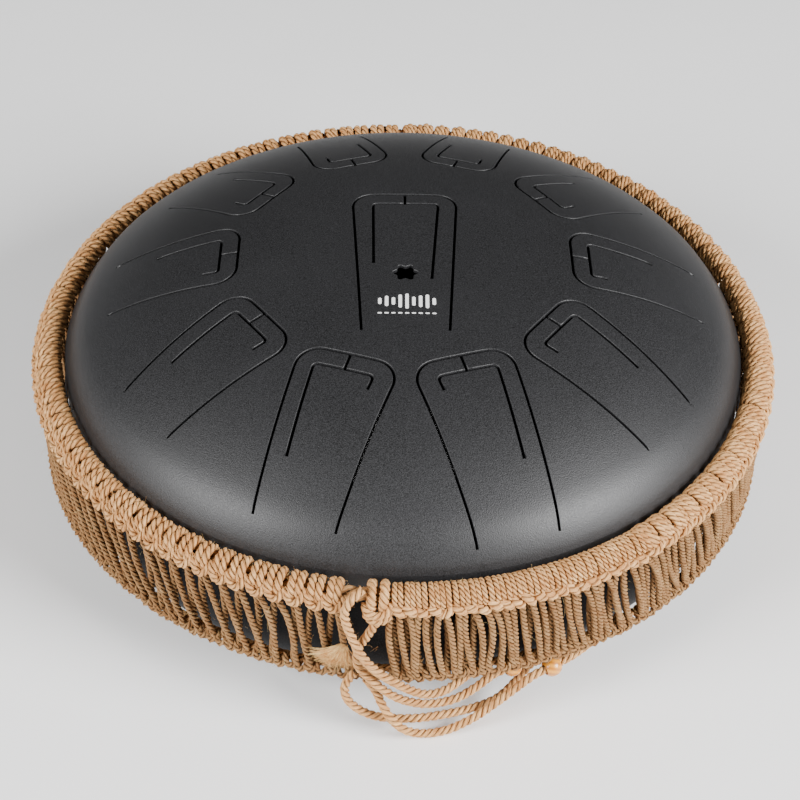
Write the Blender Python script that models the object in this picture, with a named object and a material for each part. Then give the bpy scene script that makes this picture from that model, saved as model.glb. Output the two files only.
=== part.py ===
"""Steel tongue drum with a knotted jute collar.

Units are metres, +Z is up and the player sits on the -Y side.  The origin is on
the floor, under the middle of the drum.
"""
from math import asin, atan, ceil, cos, hypot, pi, radians, sin, sqrt

import bmesh
import bpy
from mathutils import Matrix, Vector

MM = 0.001

# ---- steel body -----------------------------------------------------------
WALL_RADIUS = 175 * MM          # outside of the upright rim
SHEET = 2.2 * MM                # steel thickness with its coating
RIM_LEVEL = 92 * MM             # height at which the dome's curve would reach zero rise
DOME_RISE = 56.3 * MM
DOME_SPAN = 181.9 * MM          # radius at which the dome's curve would reach zero rise
DOME_POWER = 2.887
DOME_FALL = 1.137
SHOULDER_START = 160 * MM       # the dome's curve ends here and the shoulder begins
SHOULDER_END_SLOPE = radians(74)
RIM_BEND = 1.6 * MM
SEAM_LEVEL = 76.5 * MM          # lower edge of the upper shell
JOINT_GAP = 0.3 * MM
BOWL_TOP = 36 * MM              # the lower shell's wall ends here and its bowl begins
BOWL_FLAT_RADIUS = 135 * MM
BASE_LEVEL = 8 * MM             # underside of the lower shell
PORT_RADIUS = 39 * MM
PORT_LIP_TOP = 14 * MM
PORT_LIP_BEND = 3 * MM
SEGMENTS = 48

# ---- tongues --------------------------------------------------------------
SLIT = 1.4 * MM
TIP_RADIUS = 84.1 * MM          # middle of the outer slit across the tongue's tip
INNER_TIP_RADIUS = 93.3 * MM    # middle of the inner slit across the tip
TIP_FILLET = 11 * MM
INNER_FILLET = 2.2 * MM
FIRST_TONGUE = 18               # degrees from the front
TONGUE_STEP = 36
# One row for each pair of tongues, front to back.  All in mm: half widths of the
# outer slit on the back and front side at the tip and at the root, half widths of
# the inner slit at its tip, and where its long leg ends and how far out.
TONGUE_PAIRS = (
    (24.6, 25.4, 19.5, 20.5, 15.2, 14.6, 141.0, 11.7),
    (23.0, 26.8, 17.8, 22.4, 12.1, 15.9, 132.0, 9.7),
    (23.6, 23.5, 18.9, 21.0, 13.1, 14.0, 127.0, 10.6),
    (23.8, 24.2, 20.1, 20.5, 12.8, 12.8, 121.5, 11.0),
    (20.6, 21.2, 18.1, 18.3, 11.9, 11.7, 116.0, 10.6),
)
# Every note has its own length, so the root radii differ from side to side, in mm.
TONGUE_ROOTS = {"right": (169.4, 158.8, 151.0, 143.4, 134.5),
                "left": (165.4, 154.9, 149.5, 140.8, 134.5)}
SHORT_LEG = 8 * MM
CENTRE_TONGUE = (64.8, 27.0, 27.4, 21.2, 21.2, 17.2, 16.4, 27.0, 13.0)
CENTRE_TIP = -46.2 * MM
CENTRE_INNER_TIP = -37.4 * MM
CENTRE_SHORT_LEG = 52 * MM
ROSETTE_LOBES = 6
ROSETTE_RADIUS = 5.6 * MM
ROSETTE_WAVE = 0.9 * MM
ROSETTE_PLACE = Vector((0, -22)) * MM

# ---- feet -----------------------------------------------------------------
FOOT_CIRCLE = 80 * MM
FOOT_ANGLES = (90, 210, 330)
FOOT_RADIUS = 10 * MM
FOOT_TOP_RADIUS = 9 * MM
FOOT_RECESS = (4.4 * MM, 4.0 * MM)      # radius and depth of the screw's recess
SCREW_HOLE = 1.9 * MM
SCREW_SHANK = 1.55 * MM
SCREW_HEAD = (3.9 * MM, 1.2 * MM, 3.7 * MM)
SCREW_TOP = 16.5 * MM
WASHER = (4.5 * MM, 10.5 * MM, 11.3 * MM)
NUT = (3.9 * MM, 11.6 * MM, 14.2 * MM)

# ---- jute collar ----------------------------------------------------------
WELD_BEAD = (175.3 * MM, 176.3 * MM, 4.4 * MM)
UPPER_RING = (182.5 * MM, 7.0 * MM, 90.5 * MM)   # circle, section radius, height
UPPER_RING_TILT = 4.6 * MM                       # higher at the back, lower at the front
NET_INNER = 183.2 * MM
NET_OUTER = 187.6 * MM
NET_LOW = 41.4 * MM
NET_TOP = 83.0 * MM
LOWER_RING = (183.0 * MM, 3.5 * MM, 37.5 * MM)
RING_SIDES = 8

# ---- loose cords ----------------------------------------------------------
CORD_RADIUS = 2.3 * MM
CORD_STEP = 9 * MM
BEAD_RADIUS = 5 * MM
BEAD_BORE = 2.75 * MM
BEAD_A = Vector((52.1, -171.8, 27.3)) * MM
BEAD_A_AXIS = Vector((0.905, 0.387, 0.17)).normalized()
BEAD_B = Vector((71.1, -171.3, 27.0)) * MM
BEAD_B_AXIS = Vector((0.875, 0.458, 0.143)).normalized()
BEAD_STRAIGHT = (-10, -5, 0, 5, 10)     # mm along a bead's axis where its cord is straight

STEEL = (0.035, 0.036, 0.038)
JUTE = (0.54, 0.36, 0.19)
RUBBER = (0.02, 0.02, 0.02)
ZINC = (0.55, 0.56, 0.58)
WOOD = (0.72, 0.38, 0.09)


def clear_scene():
    for obj in list(bpy.data.objects):
        bpy.data.objects.remove(obj, do_unlink=True)


def material(name, colour, roughness, metallic=0.0):
    mat = bpy.data.materials.new(name)
    mat.use_nodes = True
    shader = mat.node_tree.nodes["Principled BSDF"]
    shader.inputs["Base Color"].default_value = (*colour, 1.0)
    shader.inputs["Roughness"].default_value = roughness
    shader.inputs["Metallic"].default_value = metallic
    return mat


def add_object(name, mesh, mat, location=(0, 0, 0)):
    obj = bpy.data.objects.new(name, mesh)
    obj.location = location
    obj.data.materials.append(mat)
    bpy.context.scene.collection.objects.link(obj)
    return obj


def smooth(mesh):
    mesh.shade_smooth()
    mesh.set_sharp_from_angle(angle=radians(35))


def turned(name, profile, segments=SEGMENTS, closed=True):
    """Spin a profile of (radius, height) points about Z into a closed mesh."""
    bm = bmesh.new()
    verts = [bm.verts.new((r, 0, z)) for r, z in profile]
    edges = [bm.edges.new(pair) for pair in zip(verts, verts[1:])]
    if closed:
        edges.append(bm.edges.new((verts[-1], verts[0])))
    bmesh.ops.spin(bm, geom=verts + edges, cent=(0, 0, 0), axis=(0, 0, 1),
                   angle=2 * pi, steps=segments, use_merge=True)
    bmesh.ops.remove_doubles(bm, verts=bm.verts, dist=1e-6)
    bmesh.ops.recalc_face_normals(bm, faces=bm.faces)
    mesh = bpy.data.meshes.new(name)
    bm.to_mesh(mesh)
    bm.free()
    smooth(mesh)
    return mesh


def prism(name, outline, low, high):
    """A hidden cutter: a flat outline raised from one height to another."""
    bm = bmesh.new()
    base = bm.faces.new([bm.verts.new((x, y, low)) for x, y in outline])
    raised = bmesh.ops.extrude_face_region(bm, geom=[base])["geom"]
    top = [g for g in raised if isinstance(g, bmesh.types.BMVert)]
    bmesh.ops.translate(bm, verts=top, vec=(0, 0, high - low))
    bmesh.ops.recalc_face_normals(bm, faces=bm.faces)
    mesh = bpy.data.meshes.new(name)
    bm.to_mesh(mesh)
    bm.free()
    cutter = bpy.data.objects.new(name, mesh)
    cutter.hide_render = True
    cutter.display_type = "WIRE"
    bpy.context.scene.collection.objects.link(cutter)
    return cutter


def boolean(obj, cutter, operation="DIFFERENCE"):
    mod = obj.modifiers.new(cutter.name, "BOOLEAN")
    mod.operation = operation
    mod.solver = "EXACT"
    mod.object = cutter


# ---- dome -----------------------------------------------------------------

def dome_height(radius):
    fall = 1 - (radius / DOME_SPAN) ** DOME_POWER
    return RIM_LEVEL + DOME_RISE * fall ** (1 / DOME_FALL)


def dome_slope(radius):
    step = 0.1 * MM
    drop = dome_height(max(radius - step, 0)) - dome_height(radius + step)
    return atan(drop / (2 * step)) if radius > step else 0.0


def shoulder_arc():
    """Slope where the shoulder starts, and its radius of curvature down to the rim's bend."""
    start_slope = dome_slope(SHOULDER_START)
    bend_radius = WALL_RADIUS - RIM_BEND * (1 - sin(SHOULDER_END_SLOPE))
    return start_slope, ((bend_radius - SHOULDER_START)
                         / (sin(SHOULDER_END_SLOPE) - sin(start_slope)))


def shoulder_height(slope):
    start_slope, bend = shoulder_arc()
    return dome_height(SHOULDER_START) - bend * (cos(start_slope) - cos(slope))


def skin_height(radius):
    """Height of the steel's outer face, on the dome or on its shoulder."""
    if radius <= SHOULDER_START:
        return dome_height(radius)
    start_slope, bend = shoulder_arc()
    return shoulder_height(asin(sin(start_slope) + (radius - SHOULDER_START) / bend))


def dome_profile():
    """Outer profile as (radius, height, slope), from the top down to the seam."""
    radii = [0, 24, 46, 66, 84, 100, 115, 129, 141, 151]
    points = [(r * MM, dome_height(r * MM), dome_slope(r * MM)) for r in radii]
    start_slope, bend = shoulder_arc()
    steps = 4
    for i in range(steps + 1):
        slope = start_slope + (SHOULDER_END_SLOPE - start_slope) * i / steps
        radius = SHOULDER_START + bend * (sin(slope) - sin(start_slope))
        points.append((radius, shoulder_height(slope), slope))
    bend_top = points[-1][1]
    rim_edge = bend_top - RIM_BEND * cos(SHOULDER_END_SLOPE)
    points.append((WALL_RADIUS, rim_edge, pi / 2))
    points.append((WALL_RADIUS, SEAM_LEVEL, pi / 2))
    return points


def offset_inward(points):
    return [(max(r - SHEET * sin(s), 0), z - SHEET * cos(s)) for r, z, s in points]


def dome_mesh():
    outer = dome_profile()
    profile = [(r, z) for r, z, _ in outer] + offset_inward(outer)[::-1]
    return turned("dome", profile, closed=False)


# ---- tongues --------------------------------------------------------------

def corner_arc(corner, before, after, radius, steps):
    """Round one corner of a path: the arc's points between two straight runs."""
    corner, before, after = Vector(corner), Vector(before), Vector(after)
    to_before = (before - corner).normalized()
    to_after = (after - corner).normalized()
    half = to_before.angle(to_after) / 2
    centre = corner + (to_before + to_after).normalized() * (radius / sin(half))
    start = corner + to_before * (radius / (sin(half) / cos(half))) - centre
    end = corner + to_after * (radius / (sin(half) / cos(half))) - centre
    sweep = pi - 2 * half
    return [centre + (start * sin(sweep * (1 - i / steps)) + end * sin(sweep * i / steps))
            / sin(sweep) for i in range(steps + 1)]


def tongue_path(spec, tip, root, widen, fillet, steps):
    """The U of a tongue's slit in its own frame, from root to tip and back."""
    _, back_tip, front_tip, back_root, front_root = spec[:5]
    tip = tip - widen
    ends = ((root, back_root * MM + widen), (tip, back_tip * MM + widen),
            (tip, -front_tip * MM - widen), (root, -front_root * MM - widen))
    first = corner_arc(ends[1], ends[0], ends[2], fillet, steps)
    second = corner_arc(ends[2], ends[1], ends[3], fillet, steps)
    return [Vector(ends[0])] + first + second + [Vector(ends[3])]


def inner_slit_path(spec, inner_tip, short_end):
    """The smaller U inside a tongue; one leg is long and one is short."""
    back_inner, front_inner, long_end, long_width = spec[5:9]
    ends = ((long_end * MM, long_width * MM), (inner_tip, back_inner * MM),
            (inner_tip, -front_inner * MM), (short_end, -front_inner * MM + 0.6 * MM))
    first = corner_arc(ends[1], ends[0], ends[2], INNER_FILLET, 3)
    second = corner_arc(ends[2], ends[1], ends[3], INNER_FILLET, 3)
    return [Vector(ends[0])] + first + second + [Vector(ends[3])]


def thickened(path, width):
    """Closed outline of a path drawn with a pen of the given width."""
    left, right = [], []
    for i, point in enumerate(path):
        along_in = (point - path[max(i - 1, 0)]).normalized()
        along_out = (path[min(i + 1, len(path) - 1)] - point).normalized()
        along = (along_in + along_out).normalized()
        side = Vector((-along.y, along.x))
        turn = max(along.dot(along_out if along_out.length else along_in), 0.5)
        left.append(point + side * (width / 2 / turn))
        right.append(point - side * (width / 2 / turn))
    return left + right[::-1]


def place(outline, angle, mirror):
    """Turn an outline from a tongue's own frame to the drum's plan."""
    out = Vector((sin(angle) * mirror, -cos(angle)))
    across = Vector((cos(angle) * mirror, sin(angle)))
    placed = [out * p[0] + across * p[1] for p in outline]
    return placed if mirror > 0 else placed[::-1]


def add_tongue(name, dome, shell, mat, spec, tip, inner_tip, short_end, angle, mirror):
    root = spec[0] * MM
    bottom, top = SEAM_LEVEL, RIM_LEVEL + DOME_RISE + 10 * MM
    opening = tongue_path(spec, tip, root, SLIT / 2, TIP_FILLET + SLIT / 2, 6)
    boolean(shell, prism(name + "_opening", place(opening, angle, mirror), bottom, top))

    hinge = place([Vector((root, 0))], angle, mirror)[0]
    height = skin_height(root) - SHEET / 2
    origin = Vector((hinge.x, hinge.y, height))
    mesh = dome.copy()
    mesh.transform(Matrix.Translation(-origin))
    tongue = add_object(name, mesh, mat, origin)
    plate = tongue_path(spec, tip, root - JOINT_GAP, -SLIT / 2, TIP_FILLET - SLIT / 2, 6)
    boolean(tongue, prism(name + "_plate", place(plate, angle, mirror), bottom, top),
            "INTERSECT")
    slit = thickened(inner_slit_path(spec, inner_tip, short_end), SLIT)
    boolean(tongue, prism(name + "_slit", place(slit, angle, mirror), bottom, top))
    bridge = [Vector(p) for p in ((tip - SLIT, -SLIT / 2), (inner_tip, -SLIT / 2),
                                  (inner_tip, SLIT / 2), (tip - SLIT, SLIT / 2))]
    boolean(tongue, prism(name + "_bridge", place(bridge, angle, mirror), bottom, top))
    return tongue


def rosette():
    steps = ROSETTE_LOBES * 4
    turn = 2 * pi / steps
    radii = [ROSETTE_RADIUS + ROSETTE_WAVE * cos(ROSETTE_LOBES * i * turn) for i in range(steps)]
    return [ROSETTE_PLACE + Vector((cos(i * turn), sin(i * turn))) * r
            for i, r in enumerate(radii)]


def build_upper_body():
    steel = material("coated_steel", STEEL, 0.5, 0.2)
    dome = dome_mesh()
    shell = add_object("upper_shell", dome.copy(), steel)
    low, high = RIM_LEVEL, RIM_LEVEL + DOME_RISE + 10 * MM
    centre = add_tongue("tongue_centre", dome, shell, material("steel_centre", STEEL, 0.5, 0.2),
                        CENTRE_TONGUE, CENTRE_TIP, CENTRE_INNER_TIP,
                        CENTRE_INNER_TIP + CENTRE_SHORT_LEG, 0, 1)
    boolean(centre, prism("rosette_hole", rosette(), low, high))
    for side, mirror in (("right", 1), ("left", -1)):
        for i, widths in enumerate(TONGUE_PAIRS):
            spec = (TONGUE_ROOTS[side][i],) + widths
            angle = radians(FIRST_TONGUE + TONGUE_STEP * i)
            name = "tongue_%s_%d" % (side, i + 1)
            add_tongue(name, dome, shell, material("steel_" + name, STEEL, 0.5, 0.2), spec,
                       TIP_RADIUS, INNER_TIP_RADIUS, INNER_TIP_RADIUS + SHORT_LEG,
                       angle, mirror)


# ---- lower body -----------------------------------------------------------

def bowl_profile():
    """Outer profile of the lower shell as (radius, height, slope), top to port."""
    top = SEAM_LEVEL - JOINT_GAP
    points = [(WALL_RADIUS, top, pi / 2), (WALL_RADIUS, BOWL_TOP, pi / 2)]
    wide, deep = WALL_RADIUS - BOWL_FLAT_RADIUS, BOWL_TOP - BASE_LEVEL
    steps = 7
    for i in range(1, steps + 1):
        turn = pi / 2 * i / steps
        normal = atan(wide * sin(turn) / (deep * cos(turn))) if i < steps else pi / 2
        points.append((BOWL_FLAT_RADIUS + wide * cos(turn), BOWL_TOP - deep * sin(turn),
                       pi / 2 - normal))
    points.append((PORT_RADIUS + PORT_LIP_BEND, BASE_LEVEL, 0.0))
    return points


def lower_shell_mesh():
    outer = bowl_profile()
    inner = [(r - SHEET * sin(s), z + SHEET * cos(s)) for r, z, s in outer[:-1]]
    lip_out = [(PORT_RADIUS + PORT_LIP_BEND * (1 - sin(pi / 6)),
                BASE_LEVEL + PORT_LIP_BEND * (1 - cos(pi / 6))),
               (PORT_RADIUS, BASE_LEVEL + PORT_LIP_BEND), (PORT_RADIUS, PORT_LIP_TOP)]
    lip_in = [(PORT_RADIUS + SHEET, PORT_LIP_TOP),
              (PORT_RADIUS + SHEET, BASE_LEVEL + SHEET + 0.6 * MM),
              (PORT_RADIUS + SHEET + 0.6 * MM, BASE_LEVEL + SHEET)]
    profile = [(r, z) for r, z, _ in outer] + lip_out + lip_in + inner[::-1]
    return turned("lower_shell", profile)


def circle(radius, centre=(0, 0), sides=16):
    return [Vector((centre[0] + radius * cos(2 * pi * i / sides),
                    centre[1] + radius * sin(2 * pi * i / sides))) for i in range(sides)]


def build_lower_body():
    shell = add_object("lower_shell", lower_shell_mesh(),
                       material("coated_steel_low", STEEL, 0.5, 0.2))
    inner, outer, tall = WELD_BEAD
    weld = [(inner, SEAM_LEVEL - tall / 2), (outer, SEAM_LEVEL - tall / 4),
            (outer, SEAM_LEVEL + tall / 4), (inner, SEAM_LEVEL + tall / 2)]
    add_object("rim_weld", turned("rim_weld", weld), material("weld_steel", STEEL, 0.55, 0.2))
    for i, degrees in enumerate(FOOT_ANGLES):
        spot = Vector((FOOT_CIRCLE * cos(radians(degrees)), FOOT_CIRCLE * sin(radians(degrees)), 0))
        boolean(shell, prism("screw_hole_%d" % (i + 1), circle(SCREW_HOLE, spot),
                             BASE_LEVEL - 1 * MM, BASE_LEVEL + 2 * SHEET))
        add_foot(i + 1, spot)


def add_foot(number, spot):
    recess, depth = FOOT_RECESS
    top = BASE_LEVEL - JOINT_GAP
    rubber = [(FOOT_RADIUS - 0.8 * MM, 0), (FOOT_RADIUS, 0.8 * MM), (FOOT_TOP_RADIUS, top),
              (SCREW_HOLE, top), (SCREW_HOLE, depth), (recess, depth), (recess, 0)]
    add_object("foot_%d" % number, turned("foot", rubber, 20),
               material("rubber_%d" % number, RUBBER, 0.8), spot)
    head, head_low, head_high = SCREW_HEAD
    screw = [(0, head_low), (head * 0.7, head_low), (head, head_low + 1.0 * MM), (head, head_high),
             (SCREW_SHANK, head_high), (SCREW_SHANK, SCREW_TOP), (0, SCREW_TOP)]
    add_object("foot_screw_%d" % number, turned("foot_screw", screw, 12, closed=False),
               material("zinc_screw_%d" % number, ZINC, 0.35, 1.0), spot)
    outer, low, high = WASHER
    washer = [(SCREW_HOLE, low), (outer, low), (outer, high), (SCREW_HOLE, high)]
    add_object("foot_washer_%d" % number, turned("foot_washer", washer, 16),
               material("zinc_washer_%d" % number, ZINC, 0.35, 1.0), spot)
    across, low, high = NUT
    nut = [(SCREW_HOLE, low), (across, low), (across, high), (SCREW_HOLE, high)]
    add_object("foot_nut_%d" % number, turned("foot_nut", nut, 6),
               material("zinc_nut_%d" % number, ZINC, 0.35, 1.0), spot)


# ---- jute collar ----------------------------------------------------------

def ring_profile(circle_radius, section, height):
    turn = 2 * pi / RING_SIDES
    return [(circle_radius + section * cos((i + 0.5) * turn),
             height + section * sin((i + 0.5) * turn)) for i in range(RING_SIDES)]


def build_collar():
    circle_radius, section, height = UPPER_RING
    mesh = turned("collar_upper_ring", ring_profile(circle_radius, section, 0))
    upper = add_object("collar_upper_ring", mesh, material("jute_upper", JUTE, 0.9),
                       (0, 0, height))
    upper.rotation_euler = (asin(UPPER_RING_TILT / circle_radius), 0, 0)

    net = [(NET_INNER, NET_LOW), (NET_OUTER, NET_LOW), (NET_OUTER, (NET_LOW + NET_TOP) / 2),
           (NET_OUTER, NET_TOP), (NET_INNER, NET_TOP), (NET_INNER, (NET_LOW + NET_TOP) / 2)]
    mesh = turned("collar_net", net)
    for vert in mesh.vertices:
        if vert.co.z > NET_TOP - 1 * MM:
            vert.co.z += UPPER_RING_TILT * vert.co.y / circle_radius
    add_object("collar_net", mesh, material("jute_net", JUTE, 0.9))
    add_object("collar_lower_ring", turned("collar_lower_ring", ring_profile(*LOWER_RING)),
               material("jute_lower", JUTE, 0.9))


def lump(name, centre, size, mat):
    """A soft rounded lump lying against the collar."""
    bm = bmesh.new()
    bmesh.ops.create_cube(bm, size=1.0)
    bmesh.ops.scale(bm, vec=size, verts=bm.verts)
    bmesh.ops.bevel(bm, geom=bm.edges, offset=min(size) * 0.3, segments=2, profile=0.6,
                    affect="EDGES")
    mesh = bpy.data.meshes.new(name)
    bm.to_mesh(mesh)
    bm.free()
    smooth(mesh)
    obj = add_object(name, mesh, mat, centre)
    obj.rotation_euler = (0, 0, asin(centre[0] / hypot(centre[0], centre[1])))
    return obj


def around(x, radius, z):
    """A point in front of the drum, from its x, its distance from the axis and its height."""
    x, radius, z = x * MM, radius * MM, z * MM
    return Vector((x, -sqrt(radius * radius - x * x), z))


def along_bead(centre, axis, stretch=BEAD_STRAIGHT):
    return [centre + axis * (s * MM) for s in stretch]


# Routes of the four loose cords, each point as x, distance from the drum's axis
# and height in mm; the stretch through a bead is straight.
CORE_TAIL_SHORT = [around(*p) for p in (
    (-18.7, 187.9, 94.6), (-23.6, 191.0, 91.0), (-26.8, 192.6, 84.5), (-26.6, 192.6, 78.0),
    (-24.8, 193.2, 71.5), (-20.2, 195.5, 61.0), (-13.0, 195.4, 49.5), (-0.9, 194.0, 37.8),
    (10.5, 191.2, 28.6), (20.0, 187.6, 26.6), (27.0, 183.4, 27.6), (33.0, 179.4, 28.4),
    (37.0, 178.0, 30.0), (40.0, 177.8, 32.2))]
CORE_TAIL_LONG = [around(*p) for p in (
    (-12.5, 190.6, 79.4), (-13.4, 190.5, 75.0), (-17.0, 190.4, 66.5), (-21.2, 190.4, 56.8),
    (-20.4, 191.6, 46.8), (-11.0, 194.1, 37.0), (-0.8, 193.0, 27.4), (11.5, 190.5, 20.9),
    (23.8, 187.6, 19.4), (33.6, 184.6, 21.8))] + along_bead(BEAD_A, BEAD_A_AXIS)[:-1] + [
        BEAD_A + BEAD_A_AXIS * (8 * MM)]
DRAW_TAIL_SHORT = [around(*p) for p in (
    (-22.0, 189.4, 41.0), (-25.4, 190.0, 35.6), (-27.2, 191.0, 30.4), (-25.6, 191.2, 22.4),
    (-18.8, 190.4, 14.4), (-9.0, 190.0, 10.4), (5.6, 189.6, 9.6), (19.4, 188.2, 9.8),
    (32.8, 184.8, 8.2), (43.0, 182.0, 7.9), (49.4, 180.4, 10.4), (55.0, 178.6, 15.2),
    (59.4, 177.4, 20.2), (64.5, 176.4, 24.6), (69.0, 177.2, 28.6), (72.5, 177.8, 32.0))]
DRAW_TAIL_LONG = [around(*p) for p in (
    (-17.0, 189.4, 36.4), (-12.6, 189.8, 28.8), (-9.6, 192.4, 22.6), (-4.6, 195.2, 14.6),
    (2.6, 195.4, 7.4), (11.9, 193.4, 2.9), (23.0, 191.8, 3.2), (34.7, 190.2, 8.0),
    (45.2, 188.4, 14.2), (55.0, 187.0, 20.6))] + along_bead(BEAD_B, BEAD_B_AXIS) + [
    around(*p) for p in ((88.0, 182.4, 28.8), (95.4, 179.0, 28.6), (101.0, 177.6, 30.2),
                         (104.6, 177.8, 32.4))]


def smooth_run(before, start, end, after, steps):
    """Points from start up to end on a smooth curve that also heeds its neighbours."""
    leave = (end - before) / 2
    arrive = (after - start) / 2
    points = []
    for i in range(steps):
        t = i / steps
        points.append(start * (2 * t ** 3 - 3 * t ** 2 + 1) + leave * (t ** 3 - 2 * t ** 2 + t)
                      + end * (3 * t ** 2 - 2 * t ** 3) + arrive * (t ** 3 - t ** 2))
    return points


def cord(name, route, mat):
    points = []
    for i in range(len(route) - 1):
        before = route[i - 1] if i else route[0] * 2 - route[1]
        after = route[i + 2] if i + 2 < len(route) else route[-1] * 2 - route[-2]
        steps = max(1, ceil((route[i + 1] - route[i]).length / CORD_STEP - 0.2))
        points += smooth_run(before, route[i], route[i + 1], after, steps)
    points.append(route[-1])
    curve = bpy.data.curves.new(name, "CURVE")
    curve.dimensions = "3D"
    curve.bevel_depth = CORD_RADIUS
    curve.bevel_resolution = 2
    curve.use_fill_caps = True
    spline = curve.splines.new("POLY")
    spline.points.add(len(points) - 1)
    for slot, point in zip(spline.points, points):
        slot.co = (*point, 1)
    spline.use_smooth = True
    curve.materials.append(mat)
    obj = bpy.data.objects.new(name, curve)
    bpy.context.scene.collection.objects.link(obj)
    return obj


def add_bead(name, centre, axis, mat):
    rim = asin(BEAD_BORE / BEAD_RADIUS)
    steps = 7
    turns = [rim + (pi - 2 * rim) * i / steps for i in range(steps + 1)]
    profile = [(BEAD_RADIUS * sin(t), BEAD_RADIUS * cos(t)) for t in turns]
    bead = add_object(name, turned(name, profile, 18), mat, centre)
    bead.rotation_euler = axis.to_track_quat("Z", "Y").to_euler()
    return bead


def build_cords():
    lump("finishing_knot", around(-12.5, 192.6, 85.2), Vector((12, 4.6, 10)) * MM,
         material("jute_knot", JUTE, 0.9))
    lump("frayed_tuft", around(-35.2, 190.6, 51.2), Vector((18.5, 4.8, 11)) * MM,
         material("jute_tuft", JUTE, 0.95))
    routes = (("core_tail_short", CORE_TAIL_SHORT), ("core_tail_long", CORE_TAIL_LONG),
              ("draw_tail_short", DRAW_TAIL_SHORT), ("draw_tail_long", DRAW_TAIL_LONG))
    for name, route in routes:
        cord(name, route, material("jute_" + name, JUTE, 0.9))
    add_bead("bead_inner", BEAD_A, BEAD_A_AXIS, material("beech_inner", WOOD, 0.3))
    add_bead("bead_outer", BEAD_B, BEAD_B_AXIS, material("beech_outer", WOOD, 0.3))


clear_scene()
build_upper_body()
build_lower_body()
build_collar()
build_cords()
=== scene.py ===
"""Looks of a steel tongue drum in a knotted jute collar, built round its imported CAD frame.

Lengths are metres unless a name or comment says mm.  +Z is up, the player sits on the
-Y side, and a place on the collar is given by its angle from the front, positive towards +X.
"""
import random
from math import asin, atan, atan2, ceil, cos, hypot, pi, radians, sin, sqrt, tan

import bmesh
import bpy
import numpy as np
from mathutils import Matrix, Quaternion, Vector
from mathutils.geometry import delaunay_2d_cdt


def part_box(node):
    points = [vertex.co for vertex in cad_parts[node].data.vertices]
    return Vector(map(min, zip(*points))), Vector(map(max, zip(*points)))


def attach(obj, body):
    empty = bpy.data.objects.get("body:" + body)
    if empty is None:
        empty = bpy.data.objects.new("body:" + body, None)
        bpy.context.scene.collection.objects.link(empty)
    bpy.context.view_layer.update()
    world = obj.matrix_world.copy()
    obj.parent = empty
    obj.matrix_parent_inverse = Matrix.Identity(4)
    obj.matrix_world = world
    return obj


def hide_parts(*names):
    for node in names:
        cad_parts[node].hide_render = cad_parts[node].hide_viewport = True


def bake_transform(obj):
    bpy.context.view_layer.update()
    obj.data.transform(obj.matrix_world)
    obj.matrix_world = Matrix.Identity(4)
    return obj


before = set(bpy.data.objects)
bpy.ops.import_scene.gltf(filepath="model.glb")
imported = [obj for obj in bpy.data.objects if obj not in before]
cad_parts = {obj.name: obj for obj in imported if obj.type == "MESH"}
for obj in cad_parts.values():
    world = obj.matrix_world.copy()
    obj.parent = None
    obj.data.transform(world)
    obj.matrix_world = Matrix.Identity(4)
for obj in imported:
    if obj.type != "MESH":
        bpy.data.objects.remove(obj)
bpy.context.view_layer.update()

bl_info = {
    "name": "Steel tongue drum",
    "version": (1, 0, 0),
    "blender": (4, 5, 0),
    "location": "3D View > Sidebar > Tongue drum",
    "description": "Builds a steel tongue drum with its knotted jute collar",
    "category": "Object",
}

MM = 0.001
SEED = 14                       # every piece of cordage draws from its own seed, this plus a number

# ---- steel, as in the CAD source; the slits and edges are matched ----
WALL_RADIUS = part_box("upper_shell")[1].x
SEAM_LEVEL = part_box("upper_shell")[0].z
SHEET = 2.2 * MM
RIM_LEVEL = 92 * MM
DOME_RISE = 56.3 * MM
DOME_SPAN = 181.9 * MM
DOME_POWER = 2.887
DOME_FALL = 1.137
SHOULDER_START = 160 * MM
SHOULDER_END_SLOPE = radians(74)
RIM_BEND = 1.6 * MM
PLAN_EDGE = 172 * MM          # the slit-cut part of the dome ends here
RIM_SEGMENTS = 240
BOWL_TOP = 36 * MM
BOWL_FLAT_RADIUS = 135 * MM
BASE_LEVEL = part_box("lower_shell")[0].z
PORT_RADIUS = 39 * MM
PORT_LIP_TOP = 14 * MM
PORT_LIP_BEND = 3 * MM
EASED = 0.5 * MM                # the lower shell's cut edges are eased by this much
WELD_HEIGHT = 4.4 * MM
WELD_STAND = (0.25 * MM, 1.25 * MM)     # how far the weld's foot and crown stand off the wall
WELD_PASSES = 120               # ripples round the rim
WELD_RIPPLE = 0.12 * MM

SLIT = 1.4 * MM
EDGE_ROUNDING = 0.4 * MM
TIP_RADIUS = 84.1 * MM
INNER_TIP_RADIUS = 93.3 * MM
TIP_FILLET = 11 * MM
INNER_FILLET = 2.2 * MM
FILLET_STEPS = 10
INNER_FILLET_STEPS = 4
FIRST_TONGUE = 18               # degrees from the front
TONGUE_STEP = 36
# Half widths at tip (back, front) and root, half widths of the tuning slit at its
# tip, where its long leg ends and how far out it ends, in mm.
TONGUE_PAIRS = (
    (24.6, 25.4, 19.5, 20.5, 15.2, 14.6, 141.0, 11.7),
    (23.0, 26.8, 17.8, 22.4, 12.1, 15.9, 132.0, 9.7),
    (23.6, 23.5, 18.9, 21.0, 13.1, 14.0, 127.0, 10.6),
    (23.8, 24.2, 20.1, 20.5, 12.8, 12.8, 121.5, 11.0),
    (20.6, 21.2, 18.1, 18.3, 11.9, 11.7, 116.0, 10.6),
)
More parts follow.
